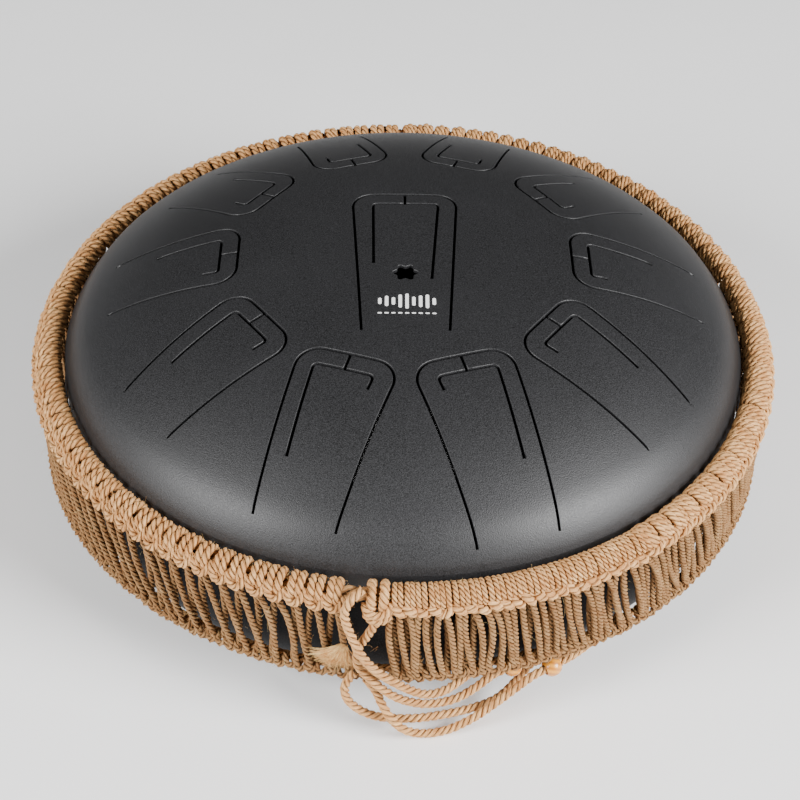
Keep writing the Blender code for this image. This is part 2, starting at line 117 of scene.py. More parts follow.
# Every note has its own length, so the root radii differ from side to side, in mm.
TONGUE_ROOTS = {"right": (169.4, 158.8, 151.0, 143.4, 134.5),
                "left": (165.4, 154.9, 149.5, 140.8, 134.5)}
SHORT_LEG = 8 * MM
SHORT_LEG_LEAN = 0.6 * MM       # the short leg's end stands this much nearer the middle
CENTRE_TONGUE = (64.8, 27.0, 27.4, 21.2, 21.2, 17.2, 16.4, 27.0, 13.0)
CENTRE_TIP = -46.2 * MM
CENTRE_INNER_TIP = -37.4 * MM
CENTRE_SHORT_LEG = 52 * MM
ROSETTE_LOBES = 6
ROSETTE_RADIUS = 5.6 * MM
ROSETTE_WAVE = 0.9 * MM
ROSETTE_PLACE = Vector((0, -22)) * MM
SKIN_GRID = 4.5 * MM
OUTLINE_STEP = 3 * MM
TINY = 1e-7
SMOOTH_UNDER = radians(50)      # edges that turn less than this are shaded smooth

# ---- collar, as in the CAD source -----------------------------------------
RING_RADIUS = 182.5             # mm, and so are the next four
RING_LEVEL = 90.5
RING_TILT = 4.6
INNER_REACH = 4.8               # how far the wraps reach in, towards the rim
LOWER_RING_RADIUS = 183.0
LOWER_RING_LEVEL = 37.5
LOOSE_CORD = 4.6                # mm across
NET_CORD = 3.5 * MM
FLOOR_CLEARANCE = 0.3           # mm
BEAD_RADIUS = 5 * MM
BEAD_BORE = 2.75 * MM
BEAD_A = Vector((52.1, -171.8, 27.3)) * MM
BEAD_A_AXIS = Vector((0.905, 0.387, 0.17)).normalized()
BEAD_B = Vector((71.1, -171.3, 27.0)) * MM
BEAD_B_AXIS = Vector((0.875, 0.458, 0.143)).normalized()
RING_STEPS = 96
BEAD_STRAIGHT = (-10, -5, 0, 5, 10)      # mm before and past a bead's middle


def around(x, radius, z):
    """A point in front of the drum, from its x, its distance from the axis and its height, in mm."""
    return Vector((x, -sqrt(radius * radius - x * x), z)) * MM


def along_bead(centre, axis, stretch=BEAD_STRAIGHT):
    return [centre + axis * (s * MM) for s in stretch]


# The loose cords' routes, the same points as in the CAD source.
CORE_TAIL_SHORT = [around(*p) for p in (
    (-18.7, 187.9, 94.6), (-23.6, 191.0, 91.0), (-26.8, 192.6, 84.5), (-26.6, 192.6, 78.0),
    (-24.8, 193.2, 71.5), (-20.2, 195.5, 61.0), (-13.0, 195.4, 49.5), (-0.9, 194.0, 37.8),
    (10.5, 191.2, 28.6), (20.0, 187.6, 26.6), (27.0, 183.4, 27.6), (33.0, 179.4, 28.4),
    (37.0, 178.0, 30.0), (40.0, 177.8, 32.2))]
CORE_TAIL_LONG = [around(*p) for p in (
    (-12.5, 190.6, 79.4), (-13.4, 190.5, 75.0), (-17.0, 190.4, 66.5), (-21.2, 190.4, 56.8),
    (-20.4, 191.6, 46.8), (-11.0, 194.1, 37.0), (-0.8, 193.0, 27.4), (11.5, 190.5, 20.9),
    (23.8, 187.6, 19.4), (33.6, 184.6, 21.8))] + along_bead(BEAD_A, BEAD_A_AXIS)[:-1] + [
        BEAD_A + BEAD_A_AXIS * (8 * MM)]
DRAW_TAIL_SHORT = [around(*p) for p in (
    (-22.0, 189.4, 41.0), (-25.4, 190.0, 35.6), (-27.2, 191.0, 30.4), (-25.6, 191.2, 22.4),
    (-18.8, 190.4, 14.4), (-9.0, 190.0, 10.4), (5.6, 189.6, 9.6), (19.4, 188.2, 9.8),
    (32.8, 184.8, 8.2), (43.0, 182.0, 7.9), (49.4, 180.4, 10.4), (55.0, 178.6, 15.2),
    (59.4, 177.4, 20.2), (64.5, 176.4, 24.6), (69.0, 177.2, 28.6), (72.5, 177.8, 32.0))]
DRAW_TAIL_LONG = [around(*p) for p in (
    (-17.0, 189.4, 36.4), (-12.6, 189.8, 28.8), (-9.6, 192.4, 22.6), (-4.6, 195.2, 14.6),
    (2.6, 195.4, 7.4), (11.9, 193.4, 2.9), (23.0, 191.8, 3.2), (34.7, 190.2, 8.0),
    (45.2, 188.4, 14.2), (55.0, 187.0, 20.6))] + along_bead(BEAD_B, BEAD_B_AXIS) + [
    around(*p) for p in ((88.0, 182.4, 28.8), (95.4, 179.0, 28.6), (101.0, 177.6, 30.2),
                         (104.6, 177.8, 32.4))]


# ---- colour and material helpers ------------------------------------------

def linear(code):
    """Linear RGBA of an sRGB hex colour."""
    channels = [int(code[i:i + 2], 16) / 255 for i in (1, 3, 5)]
    return [c / 12.92 if c <= 0.04045 else ((c + 0.055) / 1.055) ** 2.4
            for c in channels] + [1.0]


def add(mat, kind, inputs=(), **settings):
    """Add one shader node; inputs maps its sockets to values or to other nodes' sockets."""
    node = mat.node_tree.nodes.new("ShaderNode" + kind)
    for name, value in settings.items():
        setattr(node, name, value)
    for name, value in dict(inputs).items():
        if isinstance(value, bpy.types.NodeSocket):
            mat.node_tree.links.new(value, node.inputs[name])
        else:
            node.inputs[name].default_value = value
    return node


def new_material(name, values):
    """A material with constants on its shader's own sockets."""
    mat = bpy.data.materials.new(name)
    mat.use_nodes = True
    shader = mat.node_tree.nodes["Principled BSDF"]
    for socket, value in values.items():
        shader.inputs[socket].default_value = value
    return mat, shader


def link(mat, source, target):
    mat.node_tree.links.new(source, target)


def powder_coated_steel(name, steel, gloss):
    """Carbon steel, deep drawn, laser cut and powder coated: a satin black film with a fine
    grain, so highlights are broad and speckled."""
    mat, shader = new_material(name, {"IOR": 1.52, "Specular IOR Level": gloss})
    place = add(mat, "TexCoord").outputs["Object"]
    # The film's grain is about 0.1 mm; it is drawn at 0.5 mm so that it shows.
    grain = add(mat, "TexNoise", {"Vector": place, "Scale": 1 / (0.55 * MM), "Detail": 1.5,
                                  "Roughness": 0.6})
    cloud = add(mat, "TexNoise", {"Vector": place, "Scale": 1 / (45 * MM), "Detail": 2.0})
    tone = add(mat, "MapRange", {"Value": grain.outputs["Fac"], "From Min": 0.3, "From Max": 0.7})
    tone_2 = add(mat, "MapRange", {"Value": cloud.outputs["Fac"], "From Min": 0.3,
                                   "From Max": 0.7, "To Min": 0.0, "To Max": 0.25})
    mix = add(mat, "Mix", {"Factor": tone.outputs[0], "A": steel.colour_dark,
                           "B": steel.colour_light}, data_type="RGBA")
    mix_2 = add(mat, "Mix", {"Factor": tone_2.outputs[0], "A": mix.outputs["Result"],
                             "B": steel.colour_light}, data_type="RGBA")
    rough = add(mat, "MapRange", {"Value": grain.outputs["Fac"], "From Min": 0.3,
                                  "From Max": 0.7, "To Min": 0.40, "To Max": 0.56})
    bump = add(mat, "Bump", {"Height": grain.outputs["Fac"], "Strength": 1.0,
                             "Distance": 0.13 * MM})
    link(mat, mix_2.outputs["Result"], shader.inputs["Base Color"])
    link(mat, rough.outputs[0], shader.inputs["Roughness"])
    link(mat, bump.outputs["Normal"], shader.inputs["Normal"])
    return mat


def mix_colour(mat, factor, first, second):
    """A colour between two others, as a node."""
    return add(mat, "Mix", {"Factor": factor, "A": first, "B": second}, data_type="RGBA")


def jute(name, light, dark, shade):
    """Jute, retted bast fibre spun in yarns and laid in threes: dry, fibrous and matt, with
    brown painted shade in the grooves between the yarns, so their crowns read paler."""
    mat, shader = new_material(name, {"Roughness": 0.86, "Sheen Weight": 0.25,
                                      "Sheen Roughness": 0.5, "Specular IOR Level": 0.25})
    shader.inputs["Sheen Tint"].default_value = light
    lay = add(mat, "Attribute", attribute_name="lay").outputs["Vector"]
    # Fibres are 0.1 mm; their streaks are drawn 0.45 mm wide and 5 mm long.
    stretched = add(mat, "VectorMath", {0: lay, 1: (1 / (5 * MM), 1 / (0.45 * MM), 40.0)},
                    operation="MULTIPLY")
    streak = add(mat, "TexNoise", {"Vector": stretched.outputs[0], "Scale": 1.0, "Detail": 2.0})
    patch = add(mat, "TexNoise", {"Vector": add(mat, "TexCoord").outputs["Object"],
                                  "Scale": 1 / (7 * MM), "Detail": 2.0})
    fibre = add(mat, "MapRange", {"Value": streak.outputs["Fac"], "From Min": 0.36,
                                  "From Max": 0.64})
    tone = add(mat, "MapRange", {"Value": patch.outputs["Fac"], "From Min": 0.3,
                                 "From Max": 0.7, "To Min": 0.0, "To Max": 0.5})
    # Painted shade: where a point lies near its cord's middle, deep in a groove between yarns, the
    # colour is mixed towards the shade colour.
    crown = add(mat, "Attribute", attribute_name="crown").outputs["Fac"]
    painted_groove_shade = add(mat, "MapRange", {"Value": crown, "From Min": 0.52, "From Max": 0.98})
    body = mix_colour(mat, fibre.outputs[0], dark, light)
    aged = mix_colour(mat, tone.outputs[0], body.outputs["Result"], dark)
    whole = mix_colour(mat, painted_groove_shade.outputs[0], shade, aged.outputs["Result"])
    bump = add(mat, "Bump", {"Height": streak.outputs["Fac"], "Strength": 0.6,
                             "Distance": 0.25 * MM})
    link(mat, whole.outputs["Result"], shader.inputs["Base Color"])
    link(mat, bump.outputs["Normal"], shader.inputs["Normal"])
    return mat


def lacquered_beech(wood):
    """Beech, turned and dipped in honey lacquer: fine lengthwise grain under a clear gloss."""
    mat, shader = new_material("lacquered_beech", {"Roughness": 0.42, "Coat Weight": 0.7,
                                                   "Coat Roughness": 0.12, "IOR": 1.5})
    place = add(mat, "TexCoord").outputs["Object"]
    # Annual rings are 1.5 mm apart on such a small bead, and flecks are 0.3 mm wide.
    rings = add(mat, "TexWave", {"Vector": place, "Scale": 1 / (7 * MM), "Distortion": 2.2,
                                 "Detail": 2.0}, bands_direction="DIAGONAL")
    fleck = add(mat, "TexNoise", {"Vector": place, "Scale": 1 / (0.8 * MM), "Detail": 2.0})
    ring_mix = mix_colour(mat, rings.outputs["Fac"], wood.colour_light, wood.colour_dark)
    dots = add(mat, "MapRange", {"Value": fleck.outputs["Fac"], "From Min": 0.55,
                                 "From Max": 0.75, "To Max": 0.5})
    whole = mix_colour(mat, dots.outputs[0], ring_mix.outputs["Result"], wood.colour_dark)
    link(mat, whole.outputs["Result"], shader.inputs["Base Color"])
    return mat


def moulded_rubber():
    """Natural rubber, compression moulded: dull black with a faint bloom and a soft skin."""
    mat, shader = new_material("moulded_rubber", {"Roughness": 0.75, "IOR": 1.52})
    place = add(mat, "TexCoord").outputs["Object"]
    skin = add(mat, "TexNoise", {"Vector": place, "Scale": 1 / (0.9 * MM), "Detail": 3.0})
    bloom = mix_colour(mat, skin.outputs["Fac"], linear("#141414"), linear("#2A2A2A"))
    bump = add(mat, "Bump", {"Height": skin.outputs["Fac"], "Strength": 0.25,
                             "Distance": 0.1 * MM})
    link(mat, bloom.outputs["Result"], shader.inputs["Base Color"])
    link(mat, bump.outputs["Normal"], shader.inputs["Normal"])
    return mat


def zinc_plated_steel():
    """Steel, cold headed and zinc plated: bright grey metal, faintly cloudy."""
    mat, shader = new_material("zinc_plated_steel", {"Metallic": 1.0, "Roughness": 0.34})
    place = add(mat, "TexCoord").outputs["Object"]
    cloud = add(mat, "TexNoise", {"Vector": place, "Scale": 1 / (1.5 * MM), "Detail": 2.0})
    tone = mix_colour(mat, cloud.outputs["Fac"], linear("#A9ACB0"), linear("#C9CCD0"))
    rough = add(mat, "MapRange", {"Value": cloud.outputs["Fac"], "To Min": 0.25,
                                  "To Max": 0.45})
    link(mat, tone.outputs["Result"], shader.inputs["Base Color"])
    link(mat, rough.outputs[0], shader.inputs["Roughness"])
    return mat


def screen_print_ink():
    """Epoxy ink, screen printed and baked: flat white, slightly thin over the coat's grain."""
    mat, shader = new_material("screen_print_ink", {"Roughness": 0.5})
    place = add(mat, "TexCoord").outputs["Object"]
    thin = add(mat, "TexNoise", {"Vector": place, "Scale": 1 / (0.4 * MM), "Detail": 1.0})
    cover = add(mat, "MapRange", {"Value": thin.outputs["Fac"], "From Min": 0.62,
                                  "From Max": 0.8, "To Max": 0.35})
    tone = mix_colour(mat, cover.outputs[0], linear("#F2F2F0"), linear("#9A9A9A"))
    link(mat, tone.outputs["Result"], shader.inputs["Base Color"])
    return mat


def white_laminate():
    """High-pressure laminate, pressed from white melamine paper: an even matt white."""
    mat, shader = new_material("white_laminate", {"Roughness": 0.9})
    place = add(mat, "TexCoord").outputs["Object"]
    cloud = add(mat, "TexNoise", {"Vector": place, "Scale": 1 / (60 * MM), "Detail": 1.0})
    tone = mix_colour(mat, cloud.outputs["Fac"], linear("#FAFAFA"), linear("#FDFDFD"))
    link(mat, tone.outputs["Result"], shader.inputs["Base Color"])
    return mat


# ---- mesh helpers -----------------------------------------------------------

def add_piece(name, mesh, mat, body, replaced=(), location=(0, 0, 0), turn=None):
    """Put a finished mesh in the scene, riding on a CAD body and standing for CAD nodes."""
    obj = bpy.data.objects.new(name, mesh)
    obj.location = location
    if turn is not None:
        obj.rotation_mode = "QUATERNION"
        obj.rotation_quaternion = turn
    mesh.materials.append(mat)
    bpy.context.scene.collection.objects.link(obj)
    if replaced:
        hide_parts(*replaced)
    if body is not None:
        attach(obj, body)
    return obj


def finished_mesh(name, bm):
    """Turn a bmesh's faces outward and make it a mesh, smooth but for its sharp edges."""
    bmesh.ops.recalc_face_normals(bm, faces=bm.faces)
    mesh = bpy.data.meshes.new(name)
    bm.to_mesh(mesh)
    bm.free()
    mesh.shade_smooth()
    mesh.set_sharp_from_angle(angle=SMOOTH_UNDER)
    return mesh


def turned(name, profile, segments, closed=True):
    """Spin a profile of (radius, height) points about Z into a closed mesh."""
    bm = bmesh.new()
    verts = [bm.verts.new((r, 0, z)) for r, z in profile]
    edges = [bm.edges.new(pair) for pair in zip(verts, verts[1:])]
    if closed:
        edges.append(bm.edges.new((verts[-1], verts[0])))
    bmesh.ops.spin(bm, geom=verts + edges, cent=(0, 0, 0), axis=(0, 0, 1),
                   angle=2 * pi, steps=segments, use_merge=True)
    bmesh.ops.remove_doubles(bm, verts=bm.verts, dist=1e-6)
    return finished_mesh(name, bm)


def rounded_profile(points, radius, steps=4):
    """A closed profile with each corner rounded, by at most the given radius."""
    out = []
    for i, corner in enumerate(points):
        before, after = points[i - 1], points[(i + 1) % len(points)]
        reach = min((Vector(before) - Vector(corner)).length,
                    (Vector(after) - Vector(corner)).length) * 0.45
        half = (Vector(before) - Vector(corner)).angle(Vector(after) - Vector(corner)) / 2
        bend = min(radius, reach * tan(half))
        if corner[0] < 1e-6 or half > radians(88):
            out.append(corner)
        else:
            out += [tuple(p) for p in corner_arc(corner, before, after, bend, steps)]
    return out


def corner_arc(corner, before, after, radius, steps):
    """Round one corner of a path: the arc's points between two straight runs."""
    corner, before, after = Vector(corner), Vector(before), Vector(after)
    to_before = (before - corner).normalized()
    to_after = (after - corner).normalized()
    half = to_before.angle(to_after) / 2
    centre = corner + (to_before + to_after).normalized() * (radius / sin(half))
    start = corner + to_before * (radius / tan(half)) - centre
    end = corner + to_after * (radius / tan(half)) - centre
    sweep = pi - 2 * half
    return [centre + (start * sin(sweep * (1 - i / steps)) + end * sin(sweep * i / steps))
            / sin(sweep) for i in range(steps + 1)]


# ---- the dome's skin ----------------------------------------------------------

def dome_height(radius):
    fall = 1 - (radius / DOME_SPAN) ** DOME_POWER
    return RIM_LEVEL + DOME_RISE * fall ** (1 / DOME_FALL)


def dome_slope(radius):
    step = 0.1 * MM
    drop = dome_height(max(radius - step, 0)) - dome_height(radius + step)
    return atan(drop / (2 * step)) if radius > step else 0.0


START_SLOPE = dome_slope(SHOULDER_START)
SHOULDER_BEND = ((WALL_RADIUS - RIM_BEND * (1 - sin(SHOULDER_END_SLOPE)) - SHOULDER_START)
                 / (sin(SHOULDER_END_SLOPE) - sin(START_SLOPE)))


def skin_slope(radius):
    if radius <= SHOULDER_START:
        return dome_slope(radius)
    return asin(min(sin(START_SLOPE) + (radius - SHOULDER_START) / SHOULDER_BEND, 1))


def skin_height(radius):
    """Height of the steel's outer face, on the dome or on its shoulder."""
    if radius <= SHOULDER_START:
        return dome_height(radius)
    drop = SHOULDER_BEND * (cos(START_SLOPE) - cos(skin_slope(radius)))
    return dome_height(SHOULDER_START) - drop


def skin_point(plan, depth=0.0, inside=False):
    """A plan point raised to the outer face, or to the inner one, and sunk by depth."""
    radius = hypot(plan[0], plan[1])
    height = skin_height(radius)
    if inside:
        return Vector((plan[0], plan[1], height - SHEET / cos(skin_slope(radius)) + depth))
    return Vector((plan[0], plan[1], height - depth))


def skin_normal(plan):
    radius = hypot(plan[0], plan[1])
    if radius < 1e-6:
        return Vector((0, 0, 1))
    slope = skin_slope(radius)
    return Vector((plan[0] / radius * sin(slope), plan[1] / radius * sin(slope), cos(slope)))


def refined(edge, inset, step):
    """Split the long sides of two matching outlines alike."""
    new_edge, new_inset = [], []
    for i, point in enumerate(edge):
        after, inset_after = edge[(i + 1) % len(edge)], inset[(i + 1) % len(edge)]
        count = max(1, ceil((after - point).length / step - 0.3))
        for k in range(count):
            new_edge.append(point.lerp(after, k / count))
            new_inset.append(inset[i].lerp(inset_after, k / count))
    return new_edge, new_inset


def offset_path(path, distance):
    """An open path moved sideways, to its right for a positive distance."""
    out = []
    for i, point in enumerate(path):
        into = (point - path[max(i - 1, 0)]).normalized()
        away = (path[min(i + 1, len(path) - 1)] - point).normalized()
        along = (into + away).normalized()
        reach = max(along.dot(away if away.length else into), 0.5)
        out.append(point + Vector((along.y, -along.x)) * (distance / reach))
    return out


def tongue_outline(spec, tip, inner_tip, short_end, half):
    """A tongue's edge in its own frame; half is half the slit, plus any inset.

    It runs from the root to the tip, in through the bridge slot, round the tuning slit,
    out again and back to the root.
    """
    root, back_tip, front_tip, back_root, front_root, back_in, front_in, leg, leg_width = [
        value * MM for value in spec]
    edge_tip = tip + half
    ends = [Vector(p) for p in ((root, back_root - half), (edge_tip, back_tip - half),
                                (edge_tip, half - front_tip), (root, half - front_root))]
    first = corner_arc(ends[1], ends[0], ends[2], TIP_FILLET - half, FILLET_STEPS)
    second = corner_arc(ends[2], ends[1], ends[3], TIP_FILLET - half, FILLET_STEPS)
    slit = [Vector(p) for p in ((leg, leg_width), (inner_tip, back_in), (inner_tip, -front_in),
                                (short_end, SHORT_LEG_LEAN - front_in))]
    more = half - SLIT / 2
    slit[0] += (slit[0] - slit[1]).normalized() * more
    slit[3] += (slit[3] - slit[2]).normalized() * more
    middle = (corner_arc(slit[1], slit[0], slit[2], INNER_FILLET, INNER_FILLET_STEPS)
              + corner_arc(slit[2], slit[1], slit[3], INNER_FILLET, INNER_FILLET_STEPS))
    path = [slit[0]] + middle + [slit[3]]
    outer_side, inner_side = offset_path(path, half), offset_path(path, -half)
    cut = INNER_FILLET_STEPS + 2    # the first slit leg's points end here
    mouth = inner_tip - half
    return ([ends[0]] + first + [Vector((edge_tip, half)), Vector((mouth, half))]
            + outer_side[:cut][::-1] + inner_side + outer_side[cut:][::-1]
            + [Vector((mouth, -half)), Vector((edge_tip, -half))] + second + [ends[3]])


def opening_outline(spec, tip, half):
    """The shell's opening for a tongue, in the tongue's own frame."""
    root, back_tip, front_tip, back_root, front_root = [value * MM for value in spec[:5]]
    ends = [Vector(p) for p in ((root, back_root + half), (tip - half, back_tip + half),
                                (tip - half, -half - front_tip), (root, -half - front_root))]
    first = corner_arc(ends[1], ends[0], ends[2], TIP_FILLET + half, FILLET_STEPS)
    second = corner_arc(ends[2], ends[1], ends[3], TIP_FILLET + half, FILLET_STEPS)
    return [ends[0]] + first + second + [ends[3]]


def placed(outline, angle, mirror):
    """Turn an outline from a tongue's own frame to the drum's plan."""
    out = Vector((sin(angle) * mirror, -cos(angle)))
    across = Vector((cos(angle) * mirror, sin(angle)))
    return [out * p[0] + across * p[1] for p in outline]


def tongue_specs():
    """Name, row, tip, inner tip, short leg's end, angle and mirror of every tongue."""
    yield ("tongue_centre", CENTRE_TONGUE, CENTRE_TIP, CENTRE_INNER_TIP,
           CENTRE_INNER_TIP + CENTRE_SHORT_LEG, 0.0, 1)
    for side, mirror in (("right", 1), ("left", -1)):
        for i, widths in enumerate(TONGUE_PAIRS):
            row = (TONGUE_ROOTS[side][i],) + widths
            yield ("tongue_%s_%d" % (side, i + 1), row, TIP_RADIUS, INNER_TIP_RADIUS,
                   INNER_TIP_RADIUS + SHORT_LEG, radians(FIRST_TONGUE + TONGUE_STEP * i), mirror)


def signed_area(outline):
    return sum(a.cross(b) for a, b in zip(outline, outline[1:] + outline[:1])) / 2


def grid_points(inside_box):
    """Plan points on rings round the axis, within a box of (low x, low y, high x, high y)."""
    points = []
    for ring in range(int(PLAN_EDGE / SKIN_GRID)):
        radius = ring * SKIN_GRID
        count = max(1, round(2 * pi * radius / SKIN_GRID))
        for k in range(count):
            turn = 2 * pi * (k + 0.5 * (ring % 2)) / count
            x, y = radius * sin(turn), -radius * cos(turn)
            if (inside_box[0] < x < inside_box[2]) and (inside_box[1] < y < inside_box[3]):
                points.append(Vector((x, y)))
    return points


def skin_mesh(name, outer, holes, rim=None):
    """A curved plate cut from the dome's skin.

    outer and each hole are pairs of matching outlines: the cut edge, and the line where
    the edge's rounding meets the face.  rim is a list of (radius, height) points that
    closes the outer side instead of a cut edge.
    """
    loops = [outer] + list(holes)
    points, faces = [], []
    for _, inset in loops:
        order = list(range(len(points), len(points) + len(inset)))
        faces.append(order if signed_area(inset) > 0 else order[::-1])
        points += inset
    xs, ys = [p.x for p in outer[1]], [p.y for p in outer[1]]
    points += grid_points((min(xs), min(ys), max(xs), max(ys)))
    coords, _, triangles, sources, _, origins = delaunay_2d_cdt(points, [], faces, 1, TINY)
    triangles = [t for t, origin in zip(triangles, origins) if set(origin) == {0}]
    where = {}
    for index, source in enumerate(sources):
        for number in source:
            where[number] = index

    bm = bmesh.new()
    used = sorted({i for t in triangles for i in t})
    top = {i: bm.verts.new(skin_point(coords[i])) for i in used}
    bottom = {i: bm.verts.new(skin_point(coords[i], inside=True)) for i in used}
    for t in triangles:
        bm.faces.new([top[i] for i in t])
        bm.faces.new([bottom[i] for i in reversed(t)])
    start = 0
    for number, (edge, inset) in enumerate(loops):
        ids = [where[start + i] for i in range(len(inset))]
        start += len(inset)
        above, below = [top[i] for i in ids], [bottom[i] for i in ids]
        rows = [above]
        if number == 0 and rim:
            for radius, height in rim:
                scale = radius / PLAN_EDGE
                rows.append([bm.verts.new((p.x * scale, p.y * scale, height)) for p in inset])
        else:
            for inside, turns in ((False, (45, 90)), (True, (90, 45))):
                for turn in turns:
                    slide, sunk = 1 - sin(radians(turn)), 1 - cos(radians(turn))
                    rows.append([bm.verts.new(skin_point(
                        e.lerp(n, slide), (n - e).length * sunk, inside))
                        if (n - e).length > TINY else (below if inside else above)[i]
                        for i, (e, n) in enumerate(zip(edge, inset))])
        rows.append(below)
        for upper, lower in zip(rows, rows[1:]):
            for i in range(len(ids)):
                k = (i + 1) % len(ids)
                corners = list(dict.fromkeys((upper[i], upper[k], lower[k], lower[i])))
                if len(corners) > 2:
                    bm.faces.new(corners)
    mesh = finished_mesh(name, bm)
    # The outer face takes the dome's true normals; a zero leaves the others as they are.
    rest = len(mesh.vertices) - len(used)
    mesh.normals_split_custom_set_from_vertices([skin_normal(coords[i]) for i in used]
                                                + [Vector((0, 0, 0))] * rest)
    return mesh


def rosette_outline(grow):
    steps = ROSETTE_LOBES * 12
    turn = 2 * pi / steps
    return [ROSETTE_PLACE + Vector((cos(i * turn), sin(i * turn)))
            * (ROSETTE_RADIUS + grow + ROSETTE_WAVE * cos(ROSETTE_LOBES * i * turn))
            for i in range(steps)]


def rim_profile():
    """From the slit-cut part's edge over the shoulder and down to the seam, and back inside."""
    end_radius = WALL_RADIUS - RIM_BEND * (1 - sin(SHOULDER_END_SLOPE))
    outer = []
    for i in range(1, 6):
        radius = PLAN_EDGE + (end_radius - PLAN_EDGE) * i / 5
        outer.append((radius, skin_height(radius), skin_slope(radius)))
    bend_top = outer[-1][1]
    for i in range(1, 5):
        slope = SHOULDER_END_SLOPE + (pi / 2 - SHOULDER_END_SLOPE) * i / 4
        outer.append((WALL_RADIUS - RIM_BEND * (1 - sin(slope)),
                      bend_top - RIM_BEND * (cos(SHOULDER_END_SLOPE) - cos(slope)), slope))
    outer += [(WALL_RADIUS, SEAM_LEVEL + 6 * MM, pi / 2), (WALL_RADIUS, SEAM_LEVEL, pi / 2)]
    inner = [(r - SHEET * sin(s), z - SHEET * cos(s)) for r, z, s in outer[:-1]]
    inner.append((WALL_RADIUS - SHEET, SEAM_LEVEL))
    return [(r, z) for r, z, _ in outer] + inner[::-1]


# ---- cordage --------------------------------------------------------------------

YARNS = 3
YARN_PLACE = 0.536              # a yarn's distance from the cord's middle, in cord radii
YARN_RADIUS = 0.464             # and its own radius
RINGS_PER_TURN = 5.2            # sections along one turn of a cord's lay
FIBRE_TIP = 0.45                # a stray fibre thins to this share of its radius


class Cordage:
    """Gathers laid cords and loose fibres, and makes one mesh of them."""

    def __init__(self, seed):
        self.draw = random.Random(seed)
        self.points, self.faces, self.lay, self.crown = [], [], [], []
        self.count = 0

    def rope(self, route, radius, lay, sides=5):
        """A cord of twisted yarns along a smooth route of control points; all in mm."""
        line = smooth_line(np.array([tuple(p) for p in route], float), lay / RINGS_PER_TURN)
        ring_count = len(line)
        steps = np.linalg.norm(np.diff(line, axis=0), axis=1)
        run = np.concatenate([[0], np.cumsum(steps)])
        ahead = np.gradient(line, axis=0)
        ahead /= np.linalg.norm(ahead, axis=1)[:, None]
        normal = np.zeros_like(line)
        seed = np.array((0.31, 0.2, 0.93))
        for i in range(ring_count):
            seed = seed - ahead[i] * (seed @ ahead[i])
            seed /= np.linalg.norm(seed)
            normal[i] = seed
        binormal = np.cross(ahead, normal)
        phase = self.draw.uniform(0, 2 * pi)
        tone = self.draw.uniform(0, 50)
        # A slanting yarn's cross-section is wider across the cord.
        stretch = sqrt(1 + (2 * pi * YARN_PLACE * radius / lay) ** 2)
        turns = np.arange(sides) * 2 * pi / sides
        rise = (np.cos(turns) * YARN_RADIUS * radius)[None, :, None]
        width = (np.sin(turns) * YARN_RADIUS * stretch * radius)[None, :, None]
        for k in range(YARNS):
            angle = phase + 2 * pi * k / YARNS - 2 * pi * run / lay
            outward = np.cos(angle)[:, None] * normal + np.sin(angle)[:, None] * binormal
            sideways = -np.sin(angle)[:, None] * normal + np.cos(angle)[:, None] * binormal
            centre = line + outward * (radius * YARN_PLACE)
            ring = centre[:, None] + outward[:, None] * rise + sideways[:, None] * width
            # How far out of the cord's middle each point lies; the jute's shader paints shade in the
            # grooves from this.
            away = np.linalg.norm(ring - line[:, None], axis=2) / radius
            lay_values = np.zeros((ring_count, sides, 3))
            lay_values[..., 0] = (run * stretch)[:, None] * MM
            lay_values[..., 1] = (turns * YARN_RADIUS * radius)[None, :] * MM
            lay_values[..., 2] = tone + 3.7 * k     # another stretch of fibre for each yarn
            self.add_tube(ring, lay_values, away)

    def add_tube(self, ring, lay_values, crown):
        """Close a row of rings of points into a tube, with its values for the jute's shader."""
        ring_count, sides = ring.shape[:2]
        base = self.count
        i = np.arange(ring_count - 1)[:, None]
        j = np.arange(sides)[None, :]
        k = (j + 1) % sides
        quads = np.stack([base + i * sides + j, base + i * sides + k,
                          base + (i + 1) * sides + k, base + (i + 1) * sides + j], axis=-1)
        self.faces += quads.reshape(-1, 4).tolist()
        last = base + (ring_count - 1) * sides
        self.faces.append([base + n for n in reversed(range(sides))])
        self.faces.append([last + n for n in range(sides)])
        self.points.append(ring.reshape(-1, 3))
        self.lay.append(lay_values.reshape(-1, 3))
        self.crown.append(crown.reshape(-1))
        self.count += ring_count * sides

    def fibre(self, route, radius):
        """One loose fibre as a thin three-sided tube; all in mm."""
        line = np.array([tuple(p) for p in route], float)
        ahead = np.gradient(line, axis=0)
        ahead /= np.linalg.norm(ahead, axis=1)[:, None]
        side = np.cross(ahead, np.array((0.3, 0.5, 0.81)))
        side /= np.linalg.norm(side, axis=1)[:, None]
        other = np.cross(ahead, side)
        thin = radius * np.linspace(1, FIBRE_TIP, len(line))
        turns = np.arange(3) * 2 * pi / 3
        ring = (line[:, None] + side[:, None] * (np.cos(turns) * thin[:, None])[..., None]
                + other[:, None] * (np.sin(turns) * thin[:, None])[..., None])
        lay_values = np.zeros(ring.shape)
        lay_values[..., 0] = np.linspace(0, 5 * MM, len(line))[:, None]
        lay_values[..., 2] = self.draw.uniform(0, 50)
        self.add_tube(ring, lay_values, np.ones(ring.shape[:2]))

    def mesh(self, name):
        """One mesh of all that was gathered; lay runs along the yarns, crown out of the cord."""
        mesh = bpy.data.meshes.new(name)
        points = np.concatenate(self.points) * MM
        mesh.from_pydata(points.tolist(), [], self.faces)
        lay = mesh.attributes.new("lay", "FLOAT_VECTOR", "POINT")
        lay.data.foreach_set("vector", np.concatenate(self.lay).astype(np.float32).ravel())
        crown = mesh.attributes.new("crown", "FLOAT", "POINT")
        crown.data.foreach_set("value", np.concatenate(self.crown).astype(np.float32))
        mesh.shade_smooth()
        return mesh


